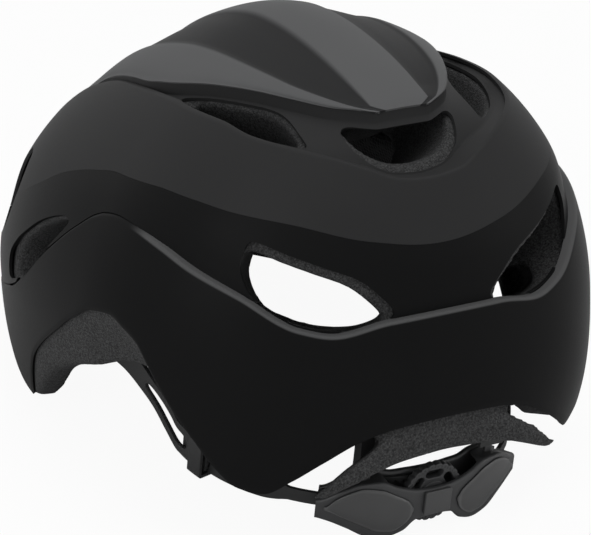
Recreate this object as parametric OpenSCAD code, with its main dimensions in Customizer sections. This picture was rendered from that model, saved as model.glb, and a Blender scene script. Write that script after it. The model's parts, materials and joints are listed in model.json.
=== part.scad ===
// Road bike helmet: vented outer shells on a foam liner, with a rear cradle set by a dial.
// The sub-parts are drawn as the helmet is worn: +X wearer's right, +Y front, +Z up, millimetres.
// on_table() then leans the whole helmet back until it rests on its brow corners and its cradle.

/* [Shell dome] */
// Greatest half width of the side shells
half_width = 108.5; // [104:0.5:114]
// Reach of the dome in front of its widest section
front_reach = 183; // [178:1:190]
// Reach of the dome behind its widest section
rear_reach = 101; // [98:1:105]
// Height of the widest section
waist_z = 57; // [55:0.5:60]
// Rise of the dome above the widest section
crown_rise = 116; // [112:0.5:120]
// Fore-aft place of the widest section
waist_y = -33; // [-36:0.5:-30]
// Fore-aft place of the dome's top
dome_top_y = -47; // [-50:0.5:-44]
// Thickness of the shells
shell_wall = 1.3; // [1:0.1:1.6]
// How far the lower shell stands out beyond the upper one at its ledge
ledge_step = 2.4; // [1.5:0.1:3]

/* [Crown] */
// Height of the crown's widest section
crown_base_z = 98; // [96:0.5:100]
// Rise of the crown above that section
crown_height = 75.5; // [73:0.5:78]
// Half width of the crown's section
crown_half_width = 100; // [97:0.5:103]
// Fore-aft place of the crown's section
crown_y = -17; // [-19:0.5:-15]
// Forward reach of the crown
crown_front = 125; // [122:1:128]
// Rearward reach of the crown
crown_rear = 140; // [137:1:143]
// Half width of the middle rib
rib_half_width = 12.5; // [10:0.5:15]
// Depth of the two grooves beside the middle rib
groove_depth = 1.8; // [1:0.1:3]

/* [Foam liner] */
// Half width of the head space
cavity_half_width = 84; // [81:0.5:86]
// Half length of the head space
cavity_half_length = 106; // [103:0.5:108]
// Fore-aft middle of the head space
cavity_y = 6; // [4:0.5:8]
// Height of the roof of the head space
cavity_top_z = 141; // [137:0.5:143]
// Depth of the foam's surface under the crown shell
crown_foam_gap = 6; // [5.6:0.1:7]

/* [Rear cradle] */
// How far the rack straps' path lies inside the head space's side
rack_gap = 15.4; // [14.5:0.1:16]
// Backward lean of the cradle's own axis
cradle_lean = 14.5; // [12:0.5:17]
// Fore-aft place of the cradle's own axis
cradle_y = -47.4; // [-49:0.1:-46]
// Height of the cradle's own centre
cradle_z = 12.6; // [11.5:0.1:13.5]
// Half angle of the cradle's housing
housing_half_angle = 36.5; // [34:0.5:39]
// Radius of the dial wheel
dial_radius = 13; // [12:0.25:14]
// Thickness of the dial wheel
dial_thickness = 3.2; // [2.6:0.1:3.4]
// Height of the dial's axis in the cradle
dial_z = 3.5; // [3:0.1:4]
// Radius of the axle the dial turns on
axle_radius = 2; // [1.6:0.1:2.4]
// Radial running fit of the turning pieces
running_fit = 0.1; // [0.05:0.01:0.15]
// Pitch radius of the pinion on the dial
pinion_pitch = 5; // [4.8:0.1:5.2]
// Number of teeth on the pinion
pinion_teeth = 10; // [10:1:10]
// Thickness of the straps
strap_wall = 1.6; // [1.2:0.1:1.8]
// Width of the straps
strap_width = 12.5; // [11:0.5:14]

/* [Height adjuster] */
// Fore-aft place of the temple pins
pin_y = 2; // [0:0.5:4]
// Height of the temple pins
pin_z = 50; // [48:0.5:52]
// How far the temple pins reach in from the head space's side
pin_inset = 5.4; // [4.8:0.1:6]
// Radius of the temple pins
pin_radius = 3; // [2.5:0.1:3.5]
// Distance of each height arm from the middle plane
arm_x = 27.5; // [26:0.5:29]
// Width of the height arms
arm_width = 7.5; // [6.5:0.25:7.5]
// Thickness of the height arms
arm_wall = 2; // [1.6:0.1:2.2]

/* [Pads] */
// Thickness of the pads at their middle
pad_thickness = 5; // [4:0.25:6]

/* [Table rest] */
// Lean of the helmet on the table
rest_tilt = 11; // [10:0.1:12]
// Drop onto the table
rest_drop = 4.39; // [3:0.01:6]
// Fore-aft shift that centres the helmet
rest_shift = -17; // [-19:0.5:-15]

/* [Hidden] */
$fn = 40;

rack_radius = cavity_half_width - rack_gap;
pin_inner_x = cavity_half_width - pin_inset;

// Outlines over the plan angle: 0 at the rear, 90 at the side, 180 at the front.
hem = [[0, 33], [10, 32], [17, 29], [26, 21], [33, 14], [40, 8.5], [46, 11], [51, 20], [54, 28],
    [60, 43], [63, 51], [69, 66], [73, 70], [78, 73.5], [84, 72.5], [89, 68.5], [94, 58], [103, 39],
    [111, 14], [118, 15.5], [122, 19], [127, 26], [140, 31.5], [155, 36], [180, 39.5]];
ridge = [[0, 75], [11, 74.5], [22, 71.5], [30, 74.5], [44, 87.5], [57, 96.5], [66, 102.5], [76, 107],
    [84, 109], [89, 108], [94, 99], [98, 89.5], [105, 73], [111, 62], [125, 53], [140, 50], [180, 52]];
colour_line = [[0, 101], [15, 105], [34, 113], [50, 117], [62, 120], [76, 122], [90, 122], [96, 119.5],
    [104, 114], [112, 104], [130, 84], [145, 72], [160, 67], [180, 66]];
ring_rim = [[0, 125], [7, 126], [16, 131], [25, 135], [33, 137.5], [53, 142], [66, 145.5], [86, 147.5],
    [91, 148], [115, 146], [133, 136.5], [143, 118], [152, 98], [157, 84], [161, 77], [180, 74]];
crown_rim = [[0, 148.5], [13, 148], [24, 149.5], [35, 152], [45, 153.5], [63, 154.5], [82, 152.5],
    [104, 148.5], [133, 137.5], [143, 119], [152, 99], [157, 85], [161, 78], [180, 75]];
foam_edge = [[0, 23], [7, 21.3], [13, 17.6], [18, 13.5], [22, 10.2], [27, 7.2], [33, 6.5], [36, 8], [40, 10], [46, 14], [51, 21],
    [56, 31], [60, 40], [64, 46], [70, 49.5], [76, 51], [82, 50], [87, 47.5], [91, 44.5], [95, 40.5],
    [99, 35], [105, 21], [111, 13.9], [118, 15.4], [122, 18.8], [127, 25.6], [140, 31], [155, 35], [180, 38.5]];
foam_tuck = [[0, 0], [8, -1.5], [14, -4], [20, -5.5], [28, -6], [33, -2], [38, 5], [45, 9], [60, 12], [75, 13], [95, 12], [104, 7], [111, 2.5], [180, 3]];
foam_lip = [[0, 10], [20, 11], [30, 15], [40, 19], [50, 23], [60, 25], [80, 25], [100, 22], [111, 14],
    [125, 24], [150, 30], [180, 32]];
channel_in = [[0, 0.5], [18, 0.46], [30, 0.3], [45, 0.2], [62, 0.2], [80, 0.3], [180, 0.4]];
crown_edge = [[-7.4, 37.5], [-5.5, 42.3], [-1, 47.4], [3, 51], [8, 53.8], [14, 55.4], [22, 55.6], [32, 55.4],
    [41, 56.6], [55, 58.4], [69, 59.8], [82, 60.5], [95, 58.8], [101, 57.5], [121, 49], [135, 39.5],
    [141.5, 33], [147, 24.5], [149.6, 16], [150.6, 12]];
groove_edge = [[-7.4, 33], [0, 38], [32, 41], [69, 42.7], [90, 41.5], [110, 39.5], [121, 37.5],
    [135, 32.5], [141.5, 27.5], [147, 20.5], [149.6, 15], [150.6, 11.9]];

half_turn = [0, 4, 9, 13, 18, 22, 27, 33, 40, 46, 51, 55, 60, 64, 69, 74, 79, 84, 89, 94, 99, 105, 111,
    118, 126, 133, 141, 149, 157, 164, 172, 180];
turn = concat([for (t = half_turn) t], [for (i = [len(half_turn) - 2:-1:1]) -half_turn[i]]);
open_turn = concat([for (i = [len(half_turn) - 1:-1:1]) if (half_turn[i] < 100) -half_turn[i]], [for (t = half_turn) if (t < 100) t]);

function mix(a, b, k) = a + (b - a) * k;
function clamp(v) = min(1, max(0, v));
function ease(v) = clamp(v) * clamp(v) * (3 - 2 * clamp(v));
function unit(v) = v / norm(v);
function at(tab, t) = lookup(min(180, abs(t)), tab);
function spow(v, e) = sign(v) * pow(abs(v), e);
function rem(u, q) = pow(max(0.0005, 1 - pow(clamp(u), q)), 1 / q);

// A point of the shell dome at plan angle t and height z, d inside its surface.
function dome(t, z, d = 0) =
    let (up = z >= waist_z,
        u = (z - waist_z) / (crown_rise - d),
        w = waist_z - z,
        a = (half_width - d) * (up ? rem(u, 1.88) : rem(w / 106, 2.48)),
        f = (front_reach - d) * (up ? rem(u, 1.83) : rem(w / 131, 2.48)),
        r = (rear_reach - d) * (up ? rem(u, 2.32) : rem(w / 114, 2.48)),
        y = waist_y + (up ? (dome_top_y - waist_y) * u * u : 0))
    [a * spow(sin(t), 0.905), y - spow(cos(t), 0.905) * (cos(t) > 0 ? r : f), z];

// A point of the crown dome.
function cap(t, z, d = 0) =
    let (k = rem((z - crown_base_z) / (crown_height - d), 1.64),
        reach = cos(t) > 0 ? crown_rear - d : crown_front - d)
    [(crown_half_width - d) * k * spow(sin(t), 1.053), crown_y - spow(cos(t), 1.053) * k * reach, z];

// The helmet's top: crown dome above, shell dome low at the front.
function top(t, z, d = 0) =
    mix(cap(t, z, d), dome(t, z, d), ease((abs(t) - 100) / 36) * (1 - ease((z - 112) / 32)));

// Head space and the foam's inner surface.
function cavity(t, z) =
    let (k = rem((z - 50) / (cavity_top_z - 50), 2.3))
    [cavity_half_width * k * spow(sin(t), 0.9), cavity_y - spow(cos(t), 0.9) * k * cavity_half_length, z];
function inner(t, z) =
    let (e = at(foam_edge, t))
    mix(dome(t, z, lip(t)), cavity(t, z), ease((z - e) / (58 - e)));

function lip(t) = at(foam_lip, t) * (half_width - cavity_half_width) / 24.5;

// Channel between the ring rim and the crown rim: j 0 ring side, 1 low inner line, 2 wall foot, 3 crown side.
function rim_low(t) = dome(t, at(ring_rim, t) - 1.6, shell_wall + 0.5);
function rim_high(t) = top(t, at(crown_rim, t), shell_wall) - [0, 0, 1.1];
function dip(t) = 1 - ease((abs(t) - 95) / 38);
function channel(t, j) =
    let (a = rim_low(t), b = rim_high(t), low = mix(a, b, at(channel_in, t)))
    j == 0 ? a :
    j == 1 ? [low[0], low[1], mix(low[2], a[2] - 0.8, 0.9 * dip(t))] :
    j == 2 ? b - [0, 0, 4.6 * dip(t)] : b;
function strip(t, v) = mix(channel(t, 1), channel(t, 2), v);
function sink(p, d) = p + d * unit([0, -20, 60] - p);

// Crown surface over a straight cross line: x across, phi the fore-aft angle, d the depth.
function cap_hit(x, phi, lo, hi, d, n) =
    let (m = (lo + hi) / 2, y = m * cos(phi), z = m * sin(phi),
        b = (y > 0 ? crown_front : crown_rear) - d,
        s = pow(pow(abs(x) / (crown_half_width - d), 1.9) + pow(abs(y) / b, 1.9), 1 / 1.9),
        g = pow(s, 1.64) + (z > 0 ? pow(z / (crown_height - d), 1.64) : 0))
    n == 0 ? m : g > 1 ? cap_hit(x, phi, lo, m, d, n - 1) : cap_hit(x, phi, m, hi, d, n - 1);
function dome_hit(x, phi, lo, hi, d, n) =
    let (m = (lo + hi) / 2, y = crown_y + m * cos(phi), z = crown_base_z + m * sin(phi),
        u = clamp((z - waist_z) / (crown_rise - d)),
        a = (half_width - d) * rem(u, 1.88),
        dy = y - mix(waist_y, dome_top_y, u * u),
        b = dy > 0 ? (front_reach - d) * rem(u, 1.83) : (rear_reach - d) * rem(u, 2.32),
        g = pow(abs(x) / a, 2.21) + pow(abs(dy) / b, 2.21))
    n == 0 ? m : g > 1 ? dome_hit(x, phi, lo, m, d, n - 1) : dome_hit(x, phi, m, hi, d, n - 1);
function over(x, phi, d = 0) =
    let (k = 1 - ease((phi - 4) / 32),
        r = (k < 1 ? (1 - k) * cap_hit(x, phi, 5, 190, d, 14) : 0)
            + (k > 0 ? k * dome_hit(x, phi, 5, 190, d, 14) : 0))
    [x, crown_y + r * cos(phi), crown_base_z + r * sin(phi)];

// Sheet between two equal grids of points.
module slab(a, b, wrap = false) {
    n = len(a);
    m = len(a[0]);
    rows = wrap ? n - 1 : n - 2;
    k = n * m;
    polyhedron(points = [for (r = a) each r, for (r = b) each r], faces = [
        for (i = [0:rows], j = [0:m - 2]) let (p = i * m + j, q = ((i + 1) % n) * m + j)
            each [[p, p + 1, q + 1], [p, q + 1, q], [k + p, k + q + 1, k + p + 1], [k + p, k + q, k + q + 1]],
        for (i = [0:rows]) let (p = i * m, q = ((i + 1) % n) * m, g = p + m - 1, h = q + m - 1)
            each [[p, q, k + q], [p, k + q, k + p], [g, k + h, h], [g, k + g, k + h]],
        if (!wrap) for (j = [0:m - 2]) let (q = (n - 1) * m + j)
            each [[j, k + j, k + j + 1], [j, k + j + 1, j + 1], [q, q + 1, k + q + 1], [q, k + q + 1, k + q]],
    ]);
}

// Closed solid through a stack of rings with a point at each end.
module stack(rings, first, last) {
    n = len(rings);
    m = len(rings[0]);
    polyhedron(points = [for (r = rings) each r, first, last], faces = [
        for (i = [0:n - 2], j = [0:m - 1]) let (p = i * m + j, q = i * m + (j + 1) % m)
            each [[p, q, q + m], [p, q + m, p + m]],
        for (j = [0:m - 1]) each [[n * m, (j + 1) % m, j], [n * m + 1, (n - 1) * m + j, (n - 1) * m + (j + 1) % m]],
    ]);
}

// Tapered plug that cuts a vent: rim points, one vector out, one vector in.
function sum(v, i = 0) = i == len(v) - 1 ? v[i] : v[i] + sum(v, i + 1);
module plug(line, out, inn, k = 0.72) {
    n = len(line);
    c = sum(line) / n;
    faced = sum([for (i = [0:n - 1]) cross(line[i] - c, line[(i + 1) % n] - c)]) * out > 0;
    rim = faced ? line : [for (i = [n - 1:-1:0]) line[i]];
    polyhedron(points = [for (p = rim) c + (p - c) * 1.03 + out, for (p = rim) c + (p - c) * k + inn, c + out, c + inn],
        faces = [for (i = [0:n - 1]) let (j = (i + 1) % n)
            each [[i, j, n + j], [i, n + j, n + i], [2 * n, j, i], [2 * n + 1, n + i, n + j]]]);
}

module one_mesh() {
    resize([0, 0, 0]) children();
}

module both() {
    children();
    mirror([1, 0, 0]) children();
}

module on_table() {
    translate([0, rest_shift, -rest_drop]) rotate([-rest_tilt, 0, 0]) children();
}

module in_cradle() {
    translate([0, cradle_y, cradle_z]) rotate([cradle_lean, 0, 0]) children();
}

// Vents
module side_vent() {
    rim = [[44.5, 95], [44.6, 103], [42.5, 107], [33.5, 102], [25.5, 97], [18, 91.5], [13, 84], [10, 76],
        [16, 72], [26, 73.5], [34, 78], [40, 83.5]];
    plug([for (p = rim) dome(p[0], p[1], 1)], [19, -23, 4], [-24, 42, -13], 0.86);
}
module temple_vent() {
    rim = [[113, 63], [114.5, 72], [112, 80], [109, 86], [104, 94.5], [98.5, 100], [96, 99], [98, 91.5], [101.5, 81], [106, 70]];
    plug([for (p = rim) dome(p[0], p[1], 1)], [14, 1, 2], [-42, -10, -6], 0.6);
}
module front_vent() {
    rim = [[122, 96], [127, 108], [134, 106], [140, 92], [141, 76], [135, 68], [127, 72], [122, 82]];
    plug([for (p = rim) dome(p[0], p[1], 1)], [12, 14, 3], [-34, -40, -8], 0.7);
}
module intake_vent() {
    rim = [[16, 0], [33, 2], [36, 12], [35, 24], [28, 31], [20, 31], [15, 22], [14.5, 10]];
    plug([for (p = rim) over(p[0], p[1], 2)], [0, 15, 12], [-3, -47, -32], 0.78);
}
module hem_gap() {
    rim = [[12, 33], [16.2, 25], [21, 18.7], [26.7, 10.3], [30, 6.5], [32, 2], [38, -2], [44, 2], [43, 9], [38, 10.5],
        [32, 15.5], [26, 22.5], [19, 29.5]];
    plug([for (p = rim) dome(p[0], p[1], -5)], [4, -8, 3], [-25, 46, -15], 1);
}
module brow_vent() {
    rim = [[176, 58], [172, 62], [166, 64], [160, 64], [158, 60], [163, 57], [170, 56]];
    plug([for (p = rim) dome(p[0], p[1], 1)], [2, 16, 2], [-2, -50, 2], 0.75);
}
module rear_vent() {
    half = [[5, 0.04], [10, 0.05], [15, 0.1], [18.5, 0.25], [21.2, 0.5], [22.4, 0.7], [20.4, 0.86], [13, 0.88], [5, 0.89]];
    rim = concat([for (p = half) strip(p[0], p[1])], [for (i = [8:-1:0]) strip(-half[i][0], half[i][1])]);
    plug(rim, [0, -14, 9], [0, 46, -26], 0.8);
}
module channel_vent() {
    rim = [for (p = [[72, 0.08], [62, 0.07], [51, 0.07], [41, 0.07], [33, 0.1], [35, 0.45], [38.6, 0.78], [43, 0.9],
        [50, 0.92], [60, 0.92], [70, 0.9], [77.5, 0.82], [81, 0.6], [78.5, 0.25]]) strip(p[0], p[1])];
    plug(rim, [7, -5, 13], [-16, 12, -36], 0.7);
}

module crown_shell() {
    phis = [for (p = [-7.4, -5.5, 0, 5, 11, 18, 26, 35, 45, 56, 67, 78, 89, 100, 111, 121, 129, 135, 141.5, 147, 149.6, 150.6]) p];
    function across(phi) = let (w = lookup(phi, crown_edge), g = min(w - 1.6, lookup(phi, groove_edge)),
            r = min(rib_half_width, 0.75 * g),
            half = [[r, 0], [mix(r, g, 0.1), 0.55], [mix(r, g, 0.3), 0.9], [mix(r, g, 0.55), 1], [mix(r, g, 0.85), 0.7], [g, 0], [mix(g, w, 0.5), -0.2], [w - 0.4, 0], [w, 0.35]])
        concat([for (i = [8:-1:0]) [-half[i][0], half[i][1]]], [[0, -0.3]], half);
    fade = function (phi) clamp((phi + 7.4) / 10) * clamp((150.6 - phi) / 6);
    color([0.36, 0.38, 0.40])
    one_mesh() difference() {
        slab([for (p = phis) [for (q = across(p)) over(q[0], p, q[1] * groove_depth * fade(p))]],
            [for (p = phis) [for (q = across(p)) over(q[0], p, q[1] * groove_depth * fade(p) + shell_wall)]]);
        both() intake_vent();
    }
}

module channel_shell() {
    color([0.13, 0.135, 0.14])
    one_mesh() difference() {
        slab([for (t = open_turn) [for (j = [0:3]) channel(t, j)]],
            [for (t = open_turn) [for (j = [0:3]) sink(channel(t, j), shell_wall)]]);
        rear_vent();
        both() channel_vent();
    }
}

module upper_band() {
    function grid(t, d) = let (lo = at(colour_line, t) + 0.2, hi = at(ring_rim, t))
        [dome(t, lo, d), dome(t, mix(lo, hi, 0.33), d), dome(t, mix(lo, hi, 0.66), d), dome(t, hi - 1, d),
         dome(t, hi - 0.1 * d, d + 0.6)];
    color([0.21, 0.22, 0.23])
    one_mesh() difference() {
        slab([for (t = turn) grid(t, 0)], [for (t = turn) grid(t, shell_wall)], true);
        both() front_vent();
        both() brow_vent();
    }
}

function ledge(t) = at([[0, ledge_step], [56, ledge_step], [86, 0.3], [180, 0.3]], t);
function proud(t) = at([[0, 0.9], [56, 0.9], [86, 0], [180, 0]], t);

module side_shell() {
    function grid(t, d) = let (lo = at(ridge, t) + 0.6, hi = at(colour_line, t) - 0.2, s = ledge(t))
        [dome(t, lo, s + d), dome(t, mix(lo, hi, 0.15), 0.85 * s + d), dome(t, mix(lo, hi, 0.5), 0.35 * s + d),
         dome(t, mix(lo, hi, 0.8), 0.05 * s + d), dome(t, hi, d)];
    color([0.10, 0.105, 0.11])
    one_mesh() difference() {
        slab([for (t = turn) grid(t, 0)], [for (t = turn) grid(t, shell_wall)], true);
        both() {
            side_vent();
            temple_vent();
            front_vent();
            brow_vent();
        }
    }
}

module lower_shell() {
    function grid(t, w) = let (lo = at(hem, t), hi = at(ridge, t), s = ledge(t), p = proud(t))
        [dome(t, lo + 0.3 * w, w + 0.5), dome(t, lo + 2, w - p), dome(t, mix(lo, hi, 0.35), w - p), dome(t, mix(lo, hi, 0.7), w - p),
         dome(t, hi - 1.2 - 0.6 * w, w - p), dome(t, hi - w, max(0.3 - p, w + 0.2 - p)), dome(t, hi + 0.2 - w, s + 1.2 + 0.2 * w)];
    color([0.11, 0.115, 0.12])
    one_mesh() difference() {
        slab([for (t = turn) grid(t, 0)], [for (t = turn) grid(t, shell_wall)], true);
        both() temple_vent();
    }
}

module foam_liner() {
    roof = cavity_top_z;
    lid = crown_base_z + crown_height - crown_foam_gap;
    rings = concat(
        [for (k = [0.06, 0.18, 0.36, 0.58, 0.8]) [for (t = turn) cavity(t, roof - (roof - 84) * k)]],
        [for (k = [0.75, 0.4, 0.15]) [for (t = turn) inner(t, mix(at(foam_edge, t), 84, k))]],
        [[for (t = turn) dome(t, at(foam_edge, t) + 1.5, lip(t))]],
        [[for (t = turn) dome(t, at(foam_edge, t), lip(t) - 2.5)]],
        [[for (t = turn) dome(t, at(foam_edge, t), at(foam_tuck, t) + 1.5)]],
        [[for (t = turn) dome(t, at(foam_edge, t) + 2, at(foam_tuck, t))]],
        [[for (t = turn) let (h = at(hem, t), e = at(foam_edge, t))
            dome(t, max(mix(e + 2, h, 0.6), e + 3), mix(at(foam_tuck, t), 2.4, at(foam_tuck, t) < 0 ? 0.2 : 0.55))]],
        [[for (t = turn) let (h = at(hem, t), e = at(foam_edge, t))
            dome(t, min(max(h - 0.8, mix(e + 2, h, 0.6) + 0.2, e + 3.2), h + 3.3), 2.1)]],
        [[for (t = turn) dome(t, at(hem, t) + 3.5, shell_wall + 0.8)]],
        [[for (t = turn) dome(t, at(ridge, t) - 4, shell_wall + 0.8)]],
        [[for (t = turn) dome(t, at(ridge, t) + 0.3, ledge(t) + shell_wall + 0.9)]],
        [[for (t = turn) dome(t, mix(at(ridge, t), at(colour_line, t), 0.6), 0.4 * ledge(t) + shell_wall + 0.8)]],
        [[for (t = turn) dome(t, at(colour_line, t), shell_wall + 0.7)]],
        [[for (t = turn) dome(t, at(ring_rim, t) - 4.5, shell_wall + 1.1)]],
        [for (j = [1:2]) [for (t = turn) sink(channel(t, j), shell_wall + 0.8)]],
        [[for (t = turn) top(t, at(crown_rim, t) - 1.1, crown_foam_gap)]],
        [for (k = [0.25, 0.5, 0.72, 0.88, 0.97]) [for (t = turn)
            top(t, mix(at(crown_rim, t), lid, k), crown_foam_gap)]]);
    color([0.20, 0.20, 0.205])
    one_mesh() difference() {
        stack([for (r = rings) [for (i = [len(turn) - 1:-1:0]) r[i]]], [0, cavity_y, roof], [0, crown_y, lid]);
        rear_vent();
        both() {
            side_vent();
            temple_vent();
            front_vent();
            intake_vent();
            brow_vent();
            channel_vent();
            hem_gap();
            guide_pocket();
            translate([pin_inner_x + 4, pin_y, pin_z]) rotate([0, 90, 0]) cylinder(r = 9.4, h = 5.4, $fn = 24);
        }
    }
}

// Pads: cushions on the foam's inner surface, full in the middle and drawn in at the edges.
function pad_rows(t0, t1, z0, z1, n, m, thick) = [for (i = [0:n]) [for (j = [0:m])
    let (u = 2 * i / n - 1, v = 2 * j / m - 1, w = 1 - 0.1 * u * u * u * u,
        p = cavity(mix(t0, t1, i / n), mix(z0, z1, 0.5 + 0.5 * v * w)), full = sqrt((1 - pow(u, 4)) * (1 - pow(v, 4))))
    p + (1.4 + thick * (0.15 + 0.85 * full)) * unit([0, 0, 60] - p)]];

module crown_pad() {
    function spot(x, y, d) = let (k = pow(abs(x) / cavity_half_width, 2.22) + pow(abs(y - cavity_y) / cavity_half_length, 2.22),
        p = [x, y, 50 + (cavity_top_z - 50) * pow(1 - pow(k, 1 / 2.22 * 2.3), 1 / 2.3)]) p + d * unit([0, cavity_y, 60] - p);
    function rows(lift) = [for (i = [0:14]) [for (j = [0:6]) let (u = i / 7 - 1, v = j / 3 - 1, w = 22 - 8 * cos(u * 180),
        seam = 1 - 0.45 * exp(-pow((abs(u) - 0.33) / 0.07, 2)))
        spot(v * (w - 4 * pow(u, 6)), cavity_y + 62 * u, 1.3 + (lift ? pad_thickness * seam * (0.15 + 0.85 * sqrt((1 - pow(u, 4)) * (1 - pow(v, 4)))) : 0))]];
    color([0.16, 0.16, 0.17]) slab(rows(true), rows(false));
}

module cushion(t0, t1, z0, z1, n) {
    color([0.16, 0.16, 0.17])
    slab(pad_rows(t0, t1, z0, z1, n, 5, 0), pad_rows(t0, t1, z0, z1, n, 5, pad_thickness));
}

module brow_pad() {
    cushion(136, 224, 58, 76, 18);
}

module side_pads() {
    both() cushion(88, 120, 84, 102, 8);
    both() cushion(50, 78, 84, 102, 8);
}

module temple_pins() {
    color([0.12, 0.12, 0.125]) both() translate([pin_inner_x, pin_y, pin_z]) rotate([0, 90, 0]) {
        cylinder(r = pin_radius + 2, h = 1.2);
        cylinder(r = pin_radius, h = 5);
        translate([0, 0, 4.2]) cylinder(r = 9, h = 1.6);
        translate([0, 0, 4.2]) cylinder(r = 4, h = 4.8);
    }
}

// Height adjuster: arms on an arc about the temple pins, sliding in guides in the foam.
arm_out = (rack_radius + 3.5) * cos(asin(arm_x / (rack_radius + 3.5)));
arm_radius = norm([cradle_y - arm_out * cos(cradle_lean) - 12 * sin(cradle_lean) - pin_y,
    cradle_z - arm_out * sin(cradle_lean) + 12 * cos(cradle_lean) - pin_z]);
arm_low = asin((pin_z - 4.8) / arm_radius);
arm_high = asin((pin_z - 30) / arm_radius);

module arm_arc(radius_in, radius_out, half, from, to) {
    translate([arm_x - half, pin_y, pin_z]) rotate([0, 90, 0]) rotate([0, 0, to - 90])
    rotate_extrude(angle = from - to, $fn = 120) translate([radius_in, 0]) square([radius_out - radius_in, 2 * half]);
}

module guide_pocket() {
    arm_arc(arm_radius - arm_wall / 2 - 1.7, arm_radius + arm_wall / 2 + 1.7, arm_width / 2 + 1.8, arm_low + 2, arm_high - 2.6);
}

module height_guides() {
    color([0.12, 0.12, 0.125]) both() difference() {
        arm_arc(arm_radius - arm_wall / 2 - 1.4, arm_radius + arm_wall / 2 + 1.4, arm_width / 2 + 1.5, arm_low - 3.5, arm_high - 2.4);
        arm_arc(arm_radius - arm_wall / 2 - 0.3, arm_radius + arm_wall / 2 + 0.3, arm_width / 2 + 0.35, arm_low + 4, arm_high - 2);
    }
}

module height_arms() {
    color([0.15, 0.15, 0.155]) both() arm_arc(arm_radius - arm_wall / 2, arm_radius + arm_wall / 2, arm_width / 2, arm_low + 0.5, arm_high);
}

// Cradle, in its own frame: radius r about the lean axis, angle a from the rear towards the right.
function round_at(r, a, z) = [r * sin(a), -r * cos(a), z];
house_top = [[0, 8], [6, 8.5], [13, 11], [18, 13.6], [24, 12.8], [30, 8.8], [36.5, 4.4], [50, 4.4]];
house_low = [[0, -5], [6, -6], [10, -10.5], [16, -12.8], [21, -12], [27, -8.4], [33, -5.6], [36.5, -4.8], [50, -4.8]];
base_top = [[0, 12.5], [8, 12.5], [13, 12.2], [18, 13.2], [24, 12.4], [30, 8.4], [36.5, 4.1], [50, 4.1]];
function house(tab, a) = lookup(abs(a), tab);

module arc_plate(angles, r0, r1, low, high, inset = 0) {
    function grid(r) = [for (a = angles) [for (j = [0:4]) round_at(r, a, mix(house(low, a) + inset, house(high, a) - inset, j / 4))]];
    slab(grid(r0), grid(r1));
}

module arc_wall(angles, r0, r1, tab, thick) {
    function grid(r) = [for (a = angles) [for (j = [1, 0]) round_at(r, a, house(tab, a) - j * thick)]];
    slab(grid(r0), grid(r1));
}

house_angles = [-36.5, -33, -30, -27, -24, -21, -18, -15, -13, -10, -6, -3, 0, 3, 6, 10, 13, 15, 18, 21, 24, 27, 30, 33, 36.5];
wall_angles = [17, 19, 21, 24, 27, 30, 33, 36.5];

module cradle_cover() {
    color([0.24, 0.24, 0.25]) in_cradle() union() {
        one_mesh() union() {
            arc_plate([for (a = house_angles) a * housing_half_angle / 36.5], rack_radius + 7.7, rack_radius + 6.1, house_low, house_top);
            both() difference() {
                arc_wall([for (a = wall_angles) a * housing_half_angle / 36.5], rack_radius + 6.5, rack_radius - 1.6, [for (p = house_top) [p[0], p[1] - 0.3]], 1.3);
                translate([arm_x, -arm_out, 12]) cube([arm_width + 0.8, arm_wall + 5, 12], center = true);
            }
            both() arc_wall([for (a = wall_angles) a * housing_half_angle / 36.5], rack_radius + 6.5, rack_radius - 1.6, [for (p = house_low) [p[0], p[1] + 1.6]], 1.3);
        }
    }
}

module cradle_base() {
    color([0.14, 0.14, 0.145]) in_cradle() {
        one_mesh() difference() {
            arc_plate([for (a = house_angles) a * housing_half_angle / 36.5], rack_radius - 1.9, rack_radius - 3.7, house_low, base_top);
            both() screw_place() cylinder(r = 1.3, h = 12, center = true, $fn = 16);
        }
        translate([0, -rack_radius + 2.6, dial_z]) rotate([90, 0, 0]) cylinder(r = axle_radius, h = 8.3);
    }
}

module screw_place() {
    rotate([0, 0, 17]) translate([0, -rack_radius + 2.8, -9.6]) rotate([90, 0, 0]) children();
}

module housing_screws() {
    color([0.55, 0.56, 0.57]) in_cradle() both() screw_place() {
        translate([0, 0, -3.4]) cylinder(r = 2.4, h = 2.2, $fn = 20);
        translate([0, 0, -2]) cylinder(r = 1.1, h = 10.6, $fn = 16);
    }
}

insert_top = [[7.4, 0.8], [9, 3.6], [13, 6.8], [18, 9.8], [22.5, 10.4], [26.5, 8.7], [30.5, 5.4], [34, 1.2]];
insert_low = [[7.4, -0.8], [8.4, -4], [10.5, -7], [14, -9.4], [18, -9], [22, -6.6], [28, -3], [34, -0.2]];

module wing_inserts() {
    angles = [7.4, 9, 11, 14, 17, 20, 23, 26, 28.5, 31, 34];
    function grid(rise) = [for (a = angles) [for (j = [0:4])
        let (full = (1 - pow(j / 2 - 1, 4)) * (1 - pow((a - 20.7) / 13.4, 4)))
        round_at(rack_radius + 7.8 + rise * (0.4 + 0.9 * full), a, mix(lookup(a, insert_low), lookup(a, insert_top), j / 4))]];
    color([0.30, 0.30, 0.31]) in_cradle() both() slab(grid(1), grid(0));
}

module centre_tile() {
    color([0.27, 0.27, 0.28]) in_cradle() translate([0, -rack_radius - 7.8, 2]) rotate([90, 0, 0])
    difference() {
        translate([-5.8, -5.2, 0]) cube([11.6, 10.4, 1.4]);
        for (s = [-1, 1]) translate([s * 5.9, 0, 0.9]) rotate([0, 45 * s, 0]) cube([0.5, 20, 4], center = true);
    }
}

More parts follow.
